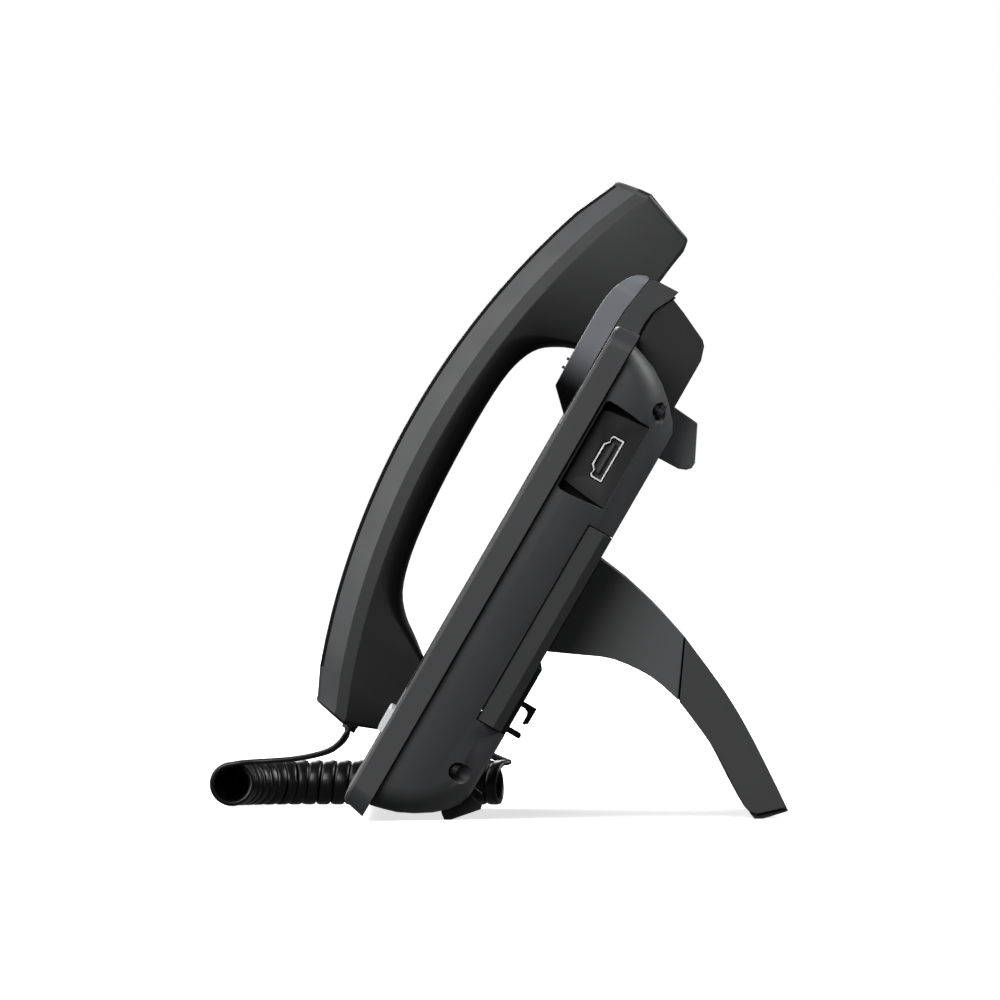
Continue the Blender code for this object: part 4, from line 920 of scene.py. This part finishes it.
# %% The network sockets, as number and middle
CONTACTS = 8
CONTACT_PITCH = 1.02
CONTACT_HALF = 0.2
CONTACT_HEIGHTS = (128.4, 128.8)
gilt = metal("contact_gilt", (0.85, 0.62, 0.25), 0.3)
for number, socket_middle in ((1, -66.0), (2, -46.0)):
    shell = finished_copy(f"network_socket_{number}", f"network_shell_{number}", 0)
    belongs(shell, "phone", "metal", socket_steel_painted_sheen, f"network_socket_{number}")
    shell.data.materials.append(socket_black)
    back = max(on_face(v.co).y for v in shell.data.vertices)
    for polygon in shell.data.polygons:
        on_rim = polygon.normal.dot(INTO) > 0.9 and on_face(polygon.center).y > back - 0.5
        polygon.material_index = 0 if on_rim else 1
    low, high = CONTACT_HEIGHTS
    bar_outline = [(back - 9, low), (back - 1.6, low), (back - 1.6, high), (back - 9, high)]
    bars = []
    for contact in range(CONTACTS):
        x = socket_middle + (contact - (CONTACTS - 1) / 2) * CONTACT_PITCH
        bars.append(prism("contact", bar_outline, x - CONTACT_HALF, x + CONTACT_HALF))
    contacts = joined(bars)
    contacts.name = f"network_contacts_{number}"
    belongs(contacts, "phone", "metal", gilt)

# %% [markdown]
# ## Inside the video socket
#
# The grey plastic liner keeps the stepped outline of the socket, a little smaller, and ends below the rim.
# The tongue that carries the contacts stands in its middle, with softened edges.


# %% The video socket's liner and its tongue
SOCKET_DEPTH, SOCKET_HEIGHT = 18.0, 136.8
TONGUE = [(17.7, 131.2), (18.9, 131.2), (18.9, 142.4), (17.7, 142.4)]


def socket_outline(length, width):
    """The stepped outline of the video socket, from half its length and half its width."""
    corner = [(1.0, 1.0), (-0.38, 1.0), (-0.6, 0.89), (-0.49, 0.71), (-1.0, 0.51)]
    corner += [(across, -along) for across, along in reversed(corner)]
    return [(SOCKET_DEPTH + across * width, SOCKET_HEIGHT + along * length) for across, along in corner]


liner = prism("video_liner", socket_outline(6.95, 2.2), 120.0, 128.2)
belongs(liner, "phone", "black_plastic", socket_black)
tongue = prism("video_tongue_blade", TONGUE, 126.0, 129.6)
soften(tongue, 0.2 * MM, 60, 2)
belongs(tongue, "phone", "black_plastic", tongue_grey, "video_tongue")

# %% [markdown]
# ## The seal behind the hood
#
# A thin foam strip fills the joint between the front frame's lip and the camera's tower on the housing, so
# that no light passes between them. Its outline follows the lip's inside, up one side and down the other.

# %% Foam strip
FOAM_UP = [(7.95, 177.8), (7.9, 182.0), (8.3, 185.9), (9.6, 188.9), (11.45, 192.45), (11.8, 193.3)]
FOAM_DOWN = [(12.3, 193.0), (11.9, 192.0), (10.1, 188.7), (8.65, 185.7), (8.35, 182.0), (8.35, 177.8)]
FOAM_HALF = TOWER_HALF - 1
foam = prism("tower_seal", FOAM_UP + FOAM_DOWN, TOWER_MIDDLE - FOAM_HALF, TOWER_MIDDLE + FOAM_HALF)
belongs(foam, "phone", "rubber", foot_rubber)

# %% [markdown]
# ## Small parts
#
# The rest of the frame's parts are already what they should be: small, plain or hidden inside. They keep
# their own meshes and only get a finish.

# %% Finishes for the nodes that stay
KEPT = {
    socket_black: ["loudspeaker", "power_socket", "cord_socket", "base_plug", "hook_plunger"]
    + ["camera_barrel", "privacy_shutter", "receiver", "handset_jack", "handset_plug"],
    socket_steel_painted_sheen: ["camera_bracket"],
    screw_steel: ["display_panel"] + [f"housing_screw_{number}" for number in (1, 2, 3, 4)],
    weight_steel: ["lens_ring", "desk_microphone", "handset_microphone", "handset_weight"],
    key_silver: ["key_left", "key_middle", "key_right"],
    screen_glass: ["display_glass", "camera_lens"],
    board_green: ["main_board", "key_board"],
    foot_rubber: ["foot_left", "foot_right", "stand_pad"],
}
for finish, names in KEPT.items():
    for name in names:
        mesh = frame["nodes"][name].data
        mesh.materials.clear()
        mesh.materials.append(finish)
print("kept nodes:", sum(len(names) for names in KEPT.values()))

# %% [markdown]
# ## Floor and light
#
# The telephone stands on a white table that glows a little itself, so only a soft shadow close to the feet
# is seen. The plastics don't see the table, or its glow would turn the undersides grey.

# %% Floor
bpy.ops.object.select_all(action="DESELECT")
bpy.ops.mesh.primitive_plane_add(size=60, location=(0, 0, 0))
floor = bpy.context.active_object
floor.name = "floor"
floor_paint, _, floor_shader = nodes_of("floor_paint")
floor_shader.inputs["Base Color"].default_value = (0.93, 0.93, 0.93, 1)
floor_shader.inputs["Roughness"].default_value = 0.9
floor_shader.inputs["Specular IOR Level"].default_value = 0.1
floor_shader.inputs["Emission Color"].default_value = (1, 1, 1, 1)
floor_shader.inputs["Emission Strength"].default_value = 0.72
floor.data.materials.append(floor_paint)
floor.visible_diffuse = False
floor.visible_glossy = False
print("floor:", round(floor.dimensions.x), "m across")

# %% [markdown]
# Black plastic shows its shape only by what it reflects. A broad sun from the front and above lights the
# facets that face it, and three large soft lights, at the side, the rear and the left, keep the other sides
# from going flat black. The room itself glows only faintly, and behind the telephone the camera sees white.


# %% The room
ROOM_GLOW = 0.14
world = bpy.data.worlds.new("bright_room")
bpy.context.scene.world = world
world.use_nodes = True
room = world.node_tree
room_light = room.nodes["Background"]
room_light.inputs["Color"].default_value = (0.96, 0.98, 1, 1)
room_light.inputs["Strength"].default_value = ROOM_GLOW
backdrop = room.nodes.new("ShaderNodeBackground")
backdrop.inputs["Color"].default_value = (1, 1, 1, 1)
seen = room.nodes.new("ShaderNodeLightPath")
choice = room.nodes.new("ShaderNodeMixShader")
room.links.new(seen.outputs["Is Camera Ray"], choice.inputs["Fac"])
room.links.new(room_light.outputs["Background"], choice.inputs[1])
room.links.new(backdrop.outputs["Background"], choice.inputs[2])
room.links.new(choice.outputs["Shader"], room.nodes["World Output"].inputs["Surface"])
print("room glow:", ROOM_GLOW)


# %% Lights
def soft_light(name, place, aim, size, power):
    """A square area light aimed at a point."""
    data = bpy.data.lights.new(name, "AREA")
    data.shape = "SQUARE"
    data.size = size
    data.energy = power
    light = bpy.data.objects.new(name, data)
    bpy.context.scene.collection.objects.link(light)
    light.location = place
    light.rotation_euler = (Vector(aim) - Vector(place)).to_track_quat("-Z", "Y").to_euler()


sun_data = bpy.data.lights.new("window_light", "SUN")
sun_data.energy = 1.9
sun_data.angle = math.radians(50)
sun = bpy.data.objects.new("window_light", sun_data)
bpy.context.scene.collection.objects.link(sun)
sun.rotation_euler = Vector((-0.06, 0.84, -0.54)).to_track_quat("-Z", "Y").to_euler()
soft_light("side_fill", (4.35, -1.4, 2.6), (0, 0, 0.12), 3.0, 270)
soft_light("rear_fill", (-0.6, 4.6, 2.6), (0, 0.05, 0.1), 2.5, 240)
soft_light("left_fill", (-4.2, -1.2, 2.4), (0, 0, 0.12), 2.5, 150)
bpy.context.scene.view_settings.view_transform = "Standard"
